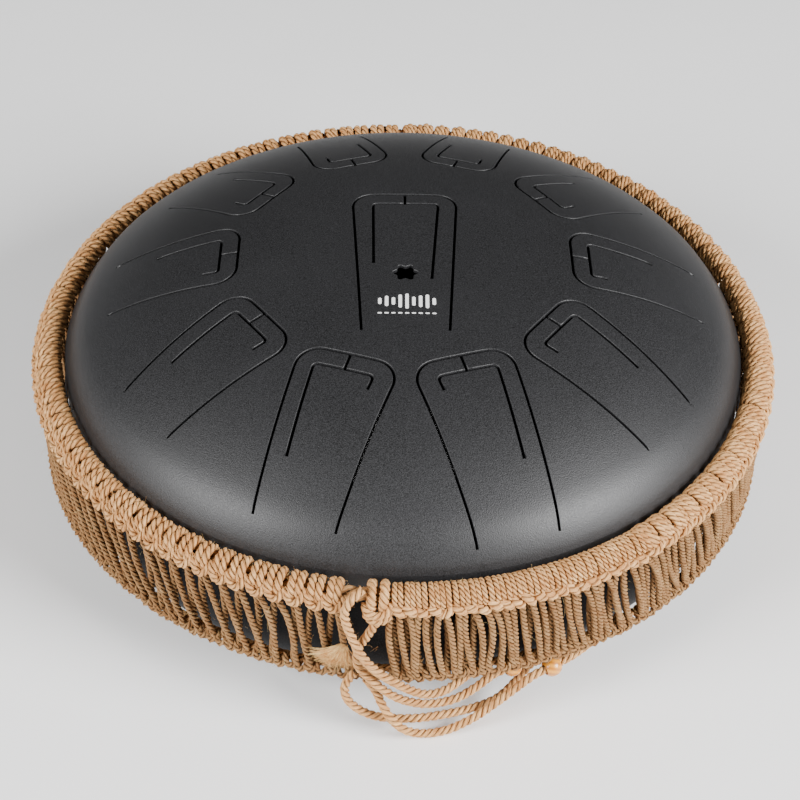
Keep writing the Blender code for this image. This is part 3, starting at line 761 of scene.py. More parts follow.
def smooth_line(route, step):
    """Points about a step apart on the smooth curve through a route's own points."""
    before = np.vstack([2 * route[0] - route[1], route[:-1]])
    after = np.vstack([route[1:], 2 * route[-1] - route[-2]])
    slope = (after - before) / 2
    points = []
    for i in range(len(route) - 1):
        count = max(2, ceil(np.linalg.norm(route[i + 1] - route[i]) / (step / 4)))
        t = np.linspace(0, 1, count, endpoint=False)[:, None]
        points.append(route[i] * (2 * t ** 3 - 3 * t ** 2 + 1)
                      + slope[i] * (t ** 3 - 2 * t ** 2 + t)
                      + route[i + 1] * (3 * t ** 2 - 2 * t ** 3)
                      + slope[i + 1] * (t ** 3 - t ** 2))
    fine = np.vstack(points + [route[-1:]])
    run = np.concatenate([[0], np.cumsum(np.linalg.norm(np.diff(fine, axis=0), axis=1))])
    count = max(3, round(run[-1] / step) + 1)
    at = np.linspace(0, run[-1], count)
    return np.stack([np.interp(at, run, fine[:, k]) for k in range(3)], axis=1)


def on_collar(angle, along, radius, height):
    """A place on the collar in mm: along is the distance past the angle, round the ring."""
    turn = angle + along / RING_RADIUS
    return Vector((radius * sin(turn), -radius * cos(turn), height))


def turned_ring(radius, level):
    """A closed round of points for a ring's cord; level gives its height at an angle."""
    return [on_collar(t, 0, radius, level(t)) for t in
            (2 * pi * i / RING_STEPS for i in range(RING_STEPS + 1))]


def ring_level(angle):
    """Height of the upper ring's middle, which tilts up towards the back; in mm."""
    return RING_LEVEL - RING_TILT * cos(angle)


# ---- settings ---------------------------------------------------------------------

class SteelSettings(bpy.types.PropertyGroup):
    slit: bpy.props.FloatProperty(
        name="Slit", description="Width of the slits round the tongues",
        default=SLIT, min=0.5 * MM, max=3 * MM, unit="LENGTH", precision=5)
    rounding: bpy.props.FloatProperty(
        name="Edge rounding", description="Radius of the coated edges along the slits",
        default=EDGE_ROUNDING, min=0.05 * MM, max=1 * MM, unit="LENGTH", precision=5)
    colour_dark: bpy.props.FloatVectorProperty(
        name="Coat, dark", description="Colour in the hollows of the coat's grain",
        subtype="COLOR", size=4, min=0, max=1, default=linear("#080808"))
    colour_light: bpy.props.FloatVectorProperty(
        name="Coat, light", description="Colour on the crests of the coat's grain",
        subtype="COLOR", size=4, min=0, max=1, default=linear("#29292B"))


class JuteSettings(bpy.types.PropertyGroup):
    strand: bpy.props.FloatProperty(
        name="Net cord", description="Diameter of the cord that the net is knotted from",
        default=NET_CORD, min=2 * MM, max=6 * MM, unit="LENGTH", precision=5)
    lay: bpy.props.FloatProperty(
        name="Lay", description="Length of one full turn of the net cord's twist",
        default=8.4 * MM, min=4 * MM, max=20 * MM, unit="LENGTH", precision=5)
    loose_lay: bpy.props.FloatProperty(
        name="Loose cord lay", description="Length of one full turn of a loose cord's twist",
        default=10.5 * MM, min=6 * MM, max=40 * MM, unit="LENGTH", precision=5)
    fibres: bpy.props.IntProperty(
        name="Stray fibres", description="How many single fibres stand out of the cords",
        default=1500, min=0, max=6000)
    colour_light: bpy.props.FloatVectorProperty(
        name="Jute, light", description="Colour of the paler fibres",
        subtype="COLOR", size=4, min=0, max=1, default=linear("#F6C88C"))
    colour_dark: bpy.props.FloatVectorProperty(
        name="Jute, dark", description="Colour of the darker fibres",
        subtype="COLOR", size=4, min=0, max=1, default=linear("#AC6E38"))
    # Painted shade: the colour painted deep in the grooves between the yarns, where shade falls.
    colour_painted_shade: bpy.props.FloatVectorProperty(
        name="Jute, grooves", description="Colour deep between the yarns",
        subtype="COLOR", size=4, min=0, max=1, default=linear("#361A08"))


class WoodSettings(bpy.types.PropertyGroup):
    colour_light: bpy.props.FloatVectorProperty(
        name="Beech, light", description="Colour between the annual rings, under lacquer",
        subtype="COLOR", size=4, min=0, max=1, default=linear("#E59A26"))
    colour_dark: bpy.props.FloatVectorProperty(
        name="Beech, dark", description="Colour of the annual rings, under lacquer",
        subtype="COLOR", size=4, min=0, max=1, default=linear("#BC7416"))


# The lower shell and weld take a copy of the coat with little gloss: painted shade, so the steel
# stays dark where the net shades it.
COAT_GLOSS = {"powder_coated_steel": 0.5, "shade_dimmed_coated_steel": 0.08}
# How much paler, or below zero darker, each jute material is than the collar's wraps. The net cord's
# darker copy, also on the lower loops, is painted shade for cord hanging below the lit wraps.
JUTE_LIFT = {"laid_jute_cord": 0.0, "loose_jute_cord": 0.0, "shaded_net_jute_cord": -0.5,
             "stray_jute_fibre": 0.45, "combed_jute_fibre": 0.35}


def steel_material(context, name):
    """The drum's coat; the lower shell's copy has less gloss, a painted shade that keeps it dark
    behind the net.
    """
    return bpy.data.materials.get(name) or powder_coated_steel(
        name, context.scene.drum_steel, COAT_GLOSS[name])


def jute_material(context, name):
    """One of the collar's jute materials, shared by all the pieces made from it; the net's darker
    copy is painted shade.
    """
    settings = context.scene.drum_jute
    shades = [[min(1.0, c * (1 + JUTE_LIFT[name])) for c in colour] for colour in
              (settings.colour_light, settings.colour_dark, settings.colour_painted_shade)]
    return bpy.data.materials.get(name) or jute(name, *shades)


# ---- stage and cords ------------------------------------------------------------------

CAMERA_PLACE = Vector((-0.01261, -0.78482, 0.71846))
CAMERA_AIM = Vector((0.011104, 0.759316, -0.650628))
CAMERA_ROLL = radians(1.11)
CAMERA_LENS = 86.63             # mm
SOFTBOXES = (                   # place, width, power in watts
    ((-1.65, -1.05, 1.10), 1.3, 78.0),
    ((1.65, -1.05, 1.10), 1.3, 125.0),
)
SKY_COLOUR = "#FFFFFF"
SKY_STRENGTH = 0.13
FLOOR_SIZE = 8.0


class DRUM_OT_stage(bpy.types.Operator):
    """Set the camera, the soft lights and the pale table"""
    bl_idname = "drum.stage"
    bl_label = "Stage"

    def execute(self, context):
        camera = bpy.data.objects.new("camera", bpy.data.cameras.new("camera"))
        camera.data.lens = CAMERA_LENS
        camera.data.clip_start, camera.data.clip_end = 0.05, 50
        camera.location = CAMERA_PLACE
        camera.rotation_mode = "QUATERNION"
        camera.rotation_quaternion = (CAMERA_AIM.to_track_quat("-Z", "Y")
                                      @ Quaternion((0, 0, 1), CAMERA_ROLL))
        context.scene.collection.objects.link(camera)
        context.scene.camera = camera
        middle = Vector((0, 0, RIM_LEVEL))
        for i, (place, size, power) in enumerate(SOFTBOXES):
            light = bpy.data.lights.new("softbox_%d" % (i + 1), "AREA")
            light.shape, light.size, light.energy = "DISK", size, power
            lamp = bpy.data.objects.new(light.name, light)
            lamp.location = place
            lamp.rotation_mode = "QUATERNION"
            lamp.rotation_quaternion = (middle - lamp.location).to_track_quat("-Z", "Y")
            context.scene.collection.objects.link(lamp)
        world = bpy.data.worlds.new("studio_air")
        world.use_nodes = True
        sky = world.node_tree.nodes["Background"]
        sky.inputs["Color"].default_value = linear(SKY_COLOUR)
        sky.inputs["Strength"].default_value = SKY_STRENGTH
        context.scene.world = world
        mesh = bpy.data.meshes.new("floor")
        half = FLOOR_SIZE / 2
        mesh.from_pydata([(-half, -half, 0), (half, -half, 0), (half, half, 0), (-half, half, 0)],
                         [], [(0, 1, 2, 3)])
        mesh.materials.append(white_laminate())
        floor = bpy.data.objects.new("floor", mesh)
        context.scene.collection.objects.link(floor)
        return {"FINISHED"}


CORDS = (   # name, route, far end, pieces on it
    ("core_tail_short", CORE_TAIL_SHORT, "object", ("finishing_knot_turns", "frayed_fan")),
    ("core_tail_long", CORE_TAIL_LONG, "knot", ("bead_inner_turned", "stopper_knot")),
    ("draw_tail_short", DRAW_TAIL_SHORT, "object", ()),
    ("draw_tail_long", DRAW_TAIL_LONG, "object", ("bead_outer_turned",)),
)


BEAD_SIDE_STEPS = 22
BEAD_EASED = 0.35 * MM
FUZZ_FIBRE = 0.05               # radii of single fibres, in mm
FAN_FIBRE = 0.13
STRAY_FIBRE = 0.045
FAN_FIBRES = 560
FAN_ROOT = (-28.2, 190.2, 58.4) # x, distance from the axis and height, in mm
FAN_LEAN = 248                  # degrees
KNOT_ANGLE = asin(-12.5 / 192.6)
KNOT_CORD = 2.5
KNOT_BAND_CORD = 2.1
# One band under the knot's two wraps, as (share of half width, outward, up); and each band's
# drop, half width and distance from the axis, in mm.
KNOT_BAND = ((-1.0, -3.4, 2.6), (-0.86, -0.6, 0.6), (-0.4, 0.8, -0.6), (0.1, 1.1, -0.9),
             (0.55, 0.8, -0.3), (0.92, -0.4, 1.2), (1.0, -3.2, 2.8))
KNOT_BANDS = ((-3.0, 5.6, 190.9), (-6.8, 5.2, 190.6))
STOPPER_PLACE = 9.3 * MM        # past the inner bead's middle
STOPPER_RADIUS = 2.2
STOPPER_CORD = 1.35
STOPPER_HALF = 1.5
STOPPER_STEPS = 14              # eight to a turn


def turned_bead(name, centre, axis, mat):
    """A bead turned from a dowel, with its bore's edges eased."""
    rim = asin(BEAD_BORE / BEAD_RADIUS) + 0.12
    turns = [rim + (pi - 2 * rim) * i / BEAD_SIDE_STEPS for i in range(BEAD_SIDE_STEPS + 1)]
    side = [(BEAD_RADIUS * sin(t), BEAD_RADIUS * cos(t)) for t in turns]
    part = BEAD_EASED * 0.3
    bore = [(BEAD_BORE + part, side[-1][1] - part), (BEAD_BORE, side[-1][1] + BEAD_EASED),
            (BEAD_BORE, side[0][1] - BEAD_EASED), (BEAD_BORE + part, side[0][1] + part)]
    mesh = turned(name, side + bore, 48)
    body = name.replace("_turned", "")
    return add_piece(name, mesh, mat, body, (body,), centre,
                     axis.to_track_quat("Z", "Y"))


class DRUM_OT_loose_cords(bpy.types.Operator):
    """Lay the four loose cord ends, with their beads, knots and frayed end"""
    bl_idname = "drum.loose_cords"
    bl_label = "Loose cords"

    def execute(self, context):
        settings = context.scene.drum_jute
        mat = jute_material(context, "loose_jute_cord")
        beech = lacquered_beech(context.scene.drum_wood)
        turned_bead("bead_inner_turned", BEAD_A, BEAD_A_AXIS, beech)
        turned_bead("bead_outer_turned", BEAD_B, BEAD_B_AXIS, beech)
        self.add_finishing_knot(mat)
        self.add_stopper_knot(mat)
        self.add_frayed_fan(jute_material(context, "combed_jute_fibre"))
        for i, (name, route, far_end, pieces) in enumerate(CORDS):
            cordage = Cordage(SEED + i)
            route_mm = [p / MM for p in route]
            cordage.rope(route_mm, LOOSE_CORD / 2, settings.loose_lay / MM, sides=8)
            self.add_fuzz(cordage, route_mm)
            obj = add_piece(name + "_laid", cordage.mesh(name + "_laid"), mat, "drum",
                            (name,))
        return {"FINISHED"}

    def add_fuzz(self, cordage, route):
        """Short fibres standing off a loose cord."""
        draw = cordage.draw
        line = smooth_line(np.array([tuple(p) for p in route], float), 1.6)
        for point in line:
            for _ in range(2):
                out = Vector([draw.gauss(0, 1) for _ in range(3)]).normalized()
                start = Vector(point) + out * (LOOSE_CORD / 2 - 0.3)
                bend = Vector([draw.gauss(0, 0.5) for _ in range(3)])
                size = draw.uniform(0.8, 1.9)
                hair = [start, start + out * size * 0.5 + bend * 0.2,
                        start + out * size * 0.8 + bend * 0.8]
                if min(p.z for p in hair) > FLOOR_CLEARANCE:
                    cordage.fibre(hair, FUZZ_FIBRE)

    def add_finishing_knot(self, mat):
        """The bigger lark's head that holds both ends of the upper ring's core cord."""
        cordage = Cordage(SEED + 11)
        level = ring_level(KNOT_ANGLE)
        for along in (-2.7, 2.7):
            route = wrap_route(KNOT_ANGLE, along * 1.1, along * 0.85, 6.0, -44, 198)
            cordage.rope(route, KNOT_CORD, 9.0, sides=7)
        for drop, wide, out in KNOT_BANDS:
            route = [on_collar(KNOT_ANGLE, u * wide, out + r, level + drop + z)
                     for u, r, z in KNOT_BAND]
            cordage.rope(route, KNOT_BAND_CORD, 8.5, sides=7)
        add_piece("finishing_knot_turns", cordage.mesh("finishing_knot_turns"), mat, "drum",
                  ("finishing_knot",))

    def add_stopper_knot(self, mat):
        """Two tight turns at the end of the cord behind the inner bead."""
        cordage = Cordage(SEED + 12)
        centre = (BEAD_A + BEAD_A_AXIS * STOPPER_PLACE) / MM
        side = BEAD_A_AXIS.cross(Vector((0, 0, 1))).normalized()
        up = side.cross(BEAD_A_AXIS)
        turns = [(k * pi / 4, STOPPER_HALF * (2 * k / STOPPER_STEPS - 1))
                 for k in range(STOPPER_STEPS + 1)]
        cordage.rope([centre + (side * cos(a) + up * sin(a)) * STOPPER_RADIUS + BEAD_A_AXIS * s
                      for a, s in turns], STOPPER_CORD, 7.0)
        add_piece("stopper_knot", cordage.mesh("stopper_knot"), mat, "drum")

    def add_frayed_fan(self, mat):
        """A cord's end combed out into a flat brush of single fibres."""
        cordage = Cordage(SEED + 13)
        draw = cordage.draw
        root = around(*FAN_ROOT) / MM
        for _ in range(FAN_FIBRES):
            spread = draw.uniform(-1, 1)
            reach = 17.0 - 2.2 * abs(spread + 0.1) + draw.gauss(0, 1.3)
            lean = radians(FAN_LEAN + 50 * spread + draw.gauss(0, 5))
            start = root + Vector((draw.gauss(0, 0.9), draw.gauss(0, 0.7), draw.gauss(0, 0.6)))
            curl = draw.gauss(0, 1.0)
            route = []
            for t in (0.0, 0.25, 0.5, 0.75, 1.0):
                turn = lean + curl * 0.14 * t * t - 0.32 * t * spread
                x = start.x + reach * t * cos(turn) * 1.05
                z = start.z + reach * t * sin(turn) * 0.84
                bulge = 190.4 + 2.0 * sin(pi * min(t * 1.15, 1)) * (1 - spread * spread * 0.5)
                bulge += draw.gauss(0, 0.25)
                route.append(around(x, bulge, z) / MM)
            cordage.fibre(route, FAN_FIBRE)
        add_piece("frayed_fan", cordage.mesh("frayed_fan"), mat, "drum",
                  ("frayed_tuft",))


# ---- steel operators ----------------------------------------------------------------------

class DRUM_OT_shells(bpy.types.Operator):
    """Build the slit-cut upper shell, the lower shell and the weld between them"""
    bl_idname = "drum.shells"
    bl_label = "Shells"

    def execute(self, context):
        steel = context.scene.drum_steel
        mat = steel_material(context, "powder_coated_steel")
        # A less glossy copy of the coat for the lower shell and the weld: painted shade behind the
        # net.
        matt = steel_material(context, "shade_dimmed_coated_steel")
        circle = [Vector((sin(t), -cos(t))) * PLAN_EDGE for t in
                  (2 * pi * i / RIM_SEGMENTS for i in range(RIM_SEGMENTS))]
        holes = []
        for _, row, tip, _, _, angle, mirror in tongue_specs():
            pair = [opening_outline(row, tip, steel.slit / 2 + grow)
                    for grow in (0, steel.rounding)]
            pair[1][0], pair[1][-1] = pair[0][0], pair[0][-1]
            holes.append([placed(o, angle, mirror) for o in refined(*pair, OUTLINE_STEP)])
        mesh = skin_mesh("upper_shell_skin", (circle, circle), holes, rim_profile())
        add_piece("upper_shell_skin", mesh, mat, "drum", ("upper_shell",))
        add_piece("lower_shell_skin", self.lower_mesh(), matt, "drum",
                  ("lower_shell",))
        add_piece("rim_weld_bead", self.weld_mesh(), matt, "drum",
                  ("rim_weld",))
        return {"FINISHED"}

    def lower_mesh(self):
        """The bowl, turned from its outer face, the port's lip and its inner face."""
        top = SEAM_LEVEL - 0.3 * MM
        outer = [(WALL_RADIUS, top - EASED, pi / 2), (WALL_RADIUS, BOWL_TOP, pi / 2)]
        wide, deep = WALL_RADIUS - BOWL_FLAT_RADIUS, BOWL_TOP - BASE_LEVEL
        steps = 28
        for i in range(1, steps + 1):
            turn = pi / 2 * i / steps
            normal = atan2(wide * sin(turn), deep * cos(turn))
            outer.append((BOWL_FLAT_RADIUS + wide * cos(turn), BOWL_TOP - deep * sin(turn),
                          pi / 2 - normal))
        outer.append((PORT_RADIUS + PORT_LIP_BEND, BASE_LEVEL, 0.0))
        inner = [(r - SHEET * sin(s), z + SHEET * cos(s)) for r, z, s in outer[:-1]]
        lip = [(PORT_RADIUS + PORT_LIP_BEND * (1 - sin(t)),
                BASE_LEVEL + PORT_LIP_BEND * (1 - cos(t)))
               for t in (radians(15 * i) for i in range(1, 7))]
        lip_inside, lip_bend = PORT_RADIUS + SHEET, 0.6 * MM
        lip += [(PORT_RADIUS, PORT_LIP_TOP - EASED), (PORT_RADIUS + EASED, PORT_LIP_TOP),
                (lip_inside - EASED, PORT_LIP_TOP), (lip_inside, PORT_LIP_TOP - EASED),
                (lip_inside, BASE_LEVEL + SHEET + lip_bend),
                (lip_inside + lip_bend, BASE_LEVEL + SHEET)]
        edge = [(WALL_RADIUS - SHEET + EASED, top), (WALL_RADIUS - EASED, top)]
        return turned("lower_shell_skin", [(r, z) for r, z, _ in outer] + lip + inner[::-1]
                      + edge, 160)

    def weld_mesh(self):
        """A ground weld bead with the faint ripples of its passes."""
        inner, outer = WALL_RADIUS + WELD_STAND[0], WALL_RADIUS + WELD_STAND[1]
        half, shoulder = WELD_HEIGHT / 2, WELD_HEIGHT * 0.35
        bm = bmesh.new()
        count, rows = WELD_PASSES * 4, []
        for i in range(count):
            turn = 2 * pi * i / count
            swell = WELD_RIPPLE * sin(turn * WELD_PASSES)
            section = [(inner, -half), (outer - 0.5 * MM, -shoulder), (outer + swell, 0),
                       (outer - 0.5 * MM, shoulder), (inner, half)]
            rows.append([bm.verts.new((r * sin(turn), -r * cos(turn), SEAM_LEVEL + z))
                         for r, z in section])
        for row, after in zip(rows, rows[1:] + rows[:1]):
            for k in range(len(row)):
                m = (k + 1) % len(row)
                bm.faces.new((row[k], after[k], after[m], row[m]))
        return finished_mesh("rim_weld_bead", bm)


class DRUM_OT_tongues(bpy.types.Operator):
    """Build the eleven tongues, each meeting the shell at its root"""
    bl_idname = "drum.tongues"
    bl_label = "Tongues"

    def execute(self, context):
        steel = context.scene.drum_steel
        mat = steel_material(context, "powder_coated_steel")
        for name, row, tip, inner_tip, short_end, angle, mirror in tongue_specs():
            pair = [tongue_outline(row, tip, inner_tip, short_end, steel.slit / 2 + grow)
                    for grow in (0, steel.rounding)]
            pair[1][0], pair[1][-1] = pair[0][0], pair[0][-1]
            outer = [placed(o, angle, mirror) for o in refined(*pair, OUTLINE_STEP)]
            holes = []
            if name == "tongue_centre":
                holes = [(rosette_outline(0), rosette_outline(steel.rounding))]
            obj = add_piece(name + "_skin", skin_mesh(name + "_skin", outer, holes), mat, None,
                            (name,))
            bend_at_root(obj)
        return {"FINISHED"}


def bend_at_root(obj):
    """Bake a piece's placement into its mesh."""
    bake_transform(obj)


MARK_CENTRE = Vector((0.7, -44.6)) * MM
MARK_BARS = (4.5, 7.5, 5.5, 9.5, 11.0, 6.5, 8.5, 10.0, 5.0)    # heights in mm
MARK_PITCH = 3.3 * MM
MARK_BAR = 1.7 * MM
MARK_LINE = -8.6 * MM           # the dashed line's place below the bars' middle
MARK_DASH = (MARK_PITCH * 0.62, 0.9 * MM)
MARK_FACES = (-0.01 * MM, -0.06 * MM)   # the print's underside and top, over the steel
CAPSULE_STEPS = 20


def capsule(centre, width, height):
    """Outline of an upright bar with round ends, or of a lying one if it is wider than tall."""
    radius = min(width, height) / 2
    reach = Vector((max(width / 2 - radius, 0), max(height / 2 - radius, 0)))
    out = []
    for i in range(CAPSULE_STEPS):
        turn = 2 * pi * (i + 0.5) / CAPSULE_STEPS
        flat = Vector((cos(turn), sin(turn)))
        out.append(centre + flat * radius + Vector((reach.x if flat.x > 0 else -reach.x,
                                                    reach.y if flat.y > 0 else -reach.y)))
    return out


class DRUM_OT_mark(bpy.types.Operator):
    """Print the plain level bars and dashed line on the central tongue"""
    bl_idname = "drum.mark"
    bl_label = "Printed mark"

    def execute(self, context):
        first = MARK_CENTRE.x - MARK_PITCH * (len(MARK_BARS) - 1) / 2
        places = [Vector((first + MARK_PITCH * i, MARK_CENTRE.y)) for i in range(len(MARK_BARS))]
        shapes = [capsule(place, MARK_BAR, tall * MM) for place, tall in zip(places, MARK_BARS)]
        shapes += [capsule(place + Vector((0, MARK_LINE)), *MARK_DASH) for place in places]
        bm = bmesh.new()
        for shape in shapes:
            low, high = [[bm.verts.new(skin_point(p, depth)) for p in shape]
                         for depth in MARK_FACES]
            bm.faces.new(high)
            bm.faces.new(low[::-1])
            for i in range(len(shape)):
                k = (i + 1) % len(shape)
                bm.faces.new((low[i], low[k], high[k], high[i]))
        bmesh.ops.triangulate(bm, faces=[f for f in bm.faces if len(f.verts) > 4])
        bmesh.ops.recalc_face_normals(bm, faces=bm.faces)
        mesh = bpy.data.meshes.new("printed_mark")
        bm.to_mesh(mesh)
        bm.free()
        obj = add_piece("printed_mark", mesh, screen_print_ink(), None)
        bend_at_root(obj)
        return {"FINISHED"}


FOOT_BORE = 1.9 * MM
FOOT_RECESS = (4.4 * MM, 4 * MM)        # radius and depth of the screw head's recess
FOOT_SIDE = ((9.6 * MM, 0), (10 * MM, 1.2 * MM), (9.3 * MM, 5.6 * MM), (9.6 * MM, 6.1 * MM))
FOOT_TOP_RADIUS = 9 * MM
FOOT_ROUNDING = 0.6 * MM
SCREW_HEAD = 3.9 * MM
SCREW_SHANK = 1.5 * MM
SCREW_UNDER_HEAD = 3.7 * MM
SCREW_PITCH = 0.7 * MM
SCREW_THREAD_DEPTH = 0.25 * MM
CROSS_ARM = (4.2 * MM, 0.8 * MM, 1.6 * MM)


class DRUM_OT_feet(bpy.types.Operator):
    """Build the rubber feet and finish their screws, washers and nuts"""
    bl_idname = "drum.feet"
    bl_label = "Feet"

    def execute(self, context):
        rubber, zinc = moulded_rubber(), zinc_plated_steel()
        for i in (1, 2, 3):
            low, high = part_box("foot_%d" % i)
            centre = Vector(((low.x + high.x) / 2, (low.y + high.y) / 2, 0))
            profile = [(FOOT_BORE, high.z), (FOOT_BORE, FOOT_RECESS[1]), FOOT_RECESS,
                       (FOOT_RECESS[0], 0), *FOOT_SIDE, (FOOT_TOP_RADIUS, high.z)]
            mesh = turned("foot_%d_moulded" % i, rounded_profile(profile, FOOT_ROUNDING), 64)
            add_piece("foot_%d_moulded" % i, mesh, rubber, "drum", ("foot_%d" % i,),
                      centre)
            self.add_screw(i, centre, zinc)
            for kind in ("washer", "nut"):
                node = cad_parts["foot_%s_%d" % (kind, i)]
                node.data.materials.clear()
                node.data.materials.append(zinc)
        return {"FINISHED"}

    def add_screw(self, number, centre, mat):
        """A pan-head machine screw with a cross recess."""
        node = "foot_screw_%d" % number
        low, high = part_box(node)
        head_side = SCREW_UNDER_HEAD - 1.0 * MM
        dome = [(SCREW_HEAD * sin(t), head_side - (head_side - low.z) * cos(t))
                for t in (pi / 2 * i / 8 for i in range(9))]
        thread = []
        level = SCREW_UNDER_HEAD + 0.4 * MM
        while level < high.z - SCREW_PITCH:
            thread += [(SCREW_SHANK, level),
                       (SCREW_SHANK - SCREW_THREAD_DEPTH, level + SCREW_PITCH / 2)]
            level += SCREW_PITCH
        profile = dome + [(SCREW_HEAD, SCREW_UNDER_HEAD), (SCREW_SHANK, SCREW_UNDER_HEAD)]
        profile += thread + [(SCREW_SHANK, high.z - 0.3 * MM),
                             (SCREW_SHANK - 0.4 * MM, high.z), (0, high.z)]
        mesh = turned(node + "_headed", profile, 40, closed=False)
        bm = bmesh.new()
        for turn in (0, pi / 2):
            made = bmesh.ops.create_cube(bm, size=1.0)["verts"]
            bmesh.ops.scale(bm, vec=CROSS_ARM, verts=made)
            bmesh.ops.rotate(bm, cent=(0, 0, 0), verts=made,
                             matrix=Quaternion((0, 0, 1), turn).to_matrix())
        bmesh.ops.translate(bm, vec=(0, 0, low.z + 0.3 * MM), verts=bm.verts)
        cutter_mesh = bpy.data.meshes.new("cross_cutter")
        bm.to_mesh(cutter_mesh)
        bm.free()
        cutter = bpy.data.objects.new("cross_cutter", cutter_mesh)
        bpy.context.scene.collection.objects.link(cutter)
        obj = bpy.data.objects.new(node + "_blank", mesh)
        bpy.context.scene.collection.objects.link(obj)
        cut = obj.modifiers.new("cross", "BOOLEAN")
        cut.operation, cut.solver, cut.object = "DIFFERENCE", "EXACT", cutter
        cut.use_self = True
        evaluated = obj.evaluated_get(bpy.context.evaluated_depsgraph_get())
        final = bpy.data.meshes.new_from_object(evaluated)
        final.name = node + "_headed"
        bpy.data.objects.remove(obj)
        bpy.data.objects.remove(cutter)
        final.materials.clear()
        final.set_sharp_from_angle(angle=radians(30))
        add_piece(node + "_headed", final, mat, "drum", (node,), centre)


# ---- collar operators ----------------------------------------------------------------------

PAIR, CLOSE, THICK = "pair", "close", "thick"
PITCH = {PAIR: 9.1, CLOSE: 5.25, THICK: 9.6}                # mm round the ring
PAIR_START, CLOSE_START, CLOSE_END = radians(-9.6), radians(-0.9), radians(37)
WRAP_REACH = {PAIR: 5.3, CLOSE: 5.75, THICK: 5.5}           # mm from the ring's middle
WRAP_CORD = {PAIR: 2.15, CLOSE: 1.5, THICK: 2.0}            # radii, in mm
CRADLE_CORD, KNOT_HITCH_CORD = 2.0, 2.25
CORE_CORD, CORE_LAY = 3.6, 22
DRAWCORD, DRAWCORD_LAY = 2.2, 12
LOOP_CORD, LOOP_PITCH = 1.7, 5.0
# Routes of the collar's knots, as (along, distance from the axis, up) from the ring's middle,
# in mm: the hitch under a pair of wraps, the small knot, the slanting hitch, and a loop round
# the drawcord.
CRADLE = ((-4.1, 186.2, 1.4), (-3.7, 189.1, -0.6), (-2.0, 190.4, -3.0), (0.1, 190.8, -3.9),
          (2.2, 190.3, -2.9), (3.7, 189.0, -0.4), (4.1, 186.2, 1.6))
SMALL_KNOT = ((-2.3, 186.0, -2.6), (-1.9, 188.9, -2.4), (-0.3, 190.6, -2.9),
              (1.4, 190.4, -3.8), (2.2, 188.8, -4.8), (1.8, 186.4, -5.6))
SLANTING_HITCH = ((-4.2, 186.0, -3.6), (-3.4, 189.2, -3.9), (-0.8, 190.6, -3.3),
                  (1.8, 190.4, -2.3), (3.8, 188.9, -1.0), (4.4, 186.2, -0.2))
LOWER_LOOP = ((-2.9, 184.0, 1.2), (-2.1, 187.0, -0.6), (0.0, 188.1, -1.9),
              (2.1, 187.0, -0.7), (2.9, 184.0, 1.2))


def collar_units():
    """Angle and kind of each group of wraps round the upper ring, left half then right."""
    units = []
    angle = PAIR_START
    while angle > -pi:
        units.append((angle, PAIR))
        angle -= PITCH[PAIR] / RING_RADIUS
    last_left = units[-1][0]
    angle = CLOSE_START
    while angle < CLOSE_END:
        units.append((angle, CLOSE))
        angle += PITCH[CLOSE] / RING_RADIUS
    angle += 2.2 / RING_RADIUS
    end = last_left + 2 * pi
    count = round((end - angle) / (PITCH[THICK] / RING_RADIUS))
    for i in range(count):
        units.append((angle + (end - angle) * i / count, THICK))
    return units


def wrap_route(angle, top, bottom, reach, start, end):
    """One turn of cord over the upper ring, from its outer foot over to its inner side."""
    level = ring_level(angle)
    route = []
    count = 9
    for i in range(count):
        turn = radians(start + (end - start) * i / (count - 1))
        share = 0.5 + 0.5 * sin(turn)
        inward = INNER_REACH / reach if cos(turn) < 0 else 1.0
        route.append(on_collar(angle, bottom + (top - bottom) * share,
                               RING_RADIUS + 0.4 + reach * inward * cos(turn),
                               level + reach * sin(turn)))
    return route


def sector(angle):
    """Which quarter of the collar an angle falls in, 0 to 3."""
    return min(int((angle + pi) / (pi / 2)), 3)


def add_collar_pieces(name, cordages, node, mat):
    """One piece for each stretch of the collar that has any cord."""
    for i, cordage in enumerate(cordages):
        if cordage.count:
            piece = "%s_%d" % (name, i + 1)
            add_piece(piece, cordage.mesh(piece), mat, "drum", (node,))


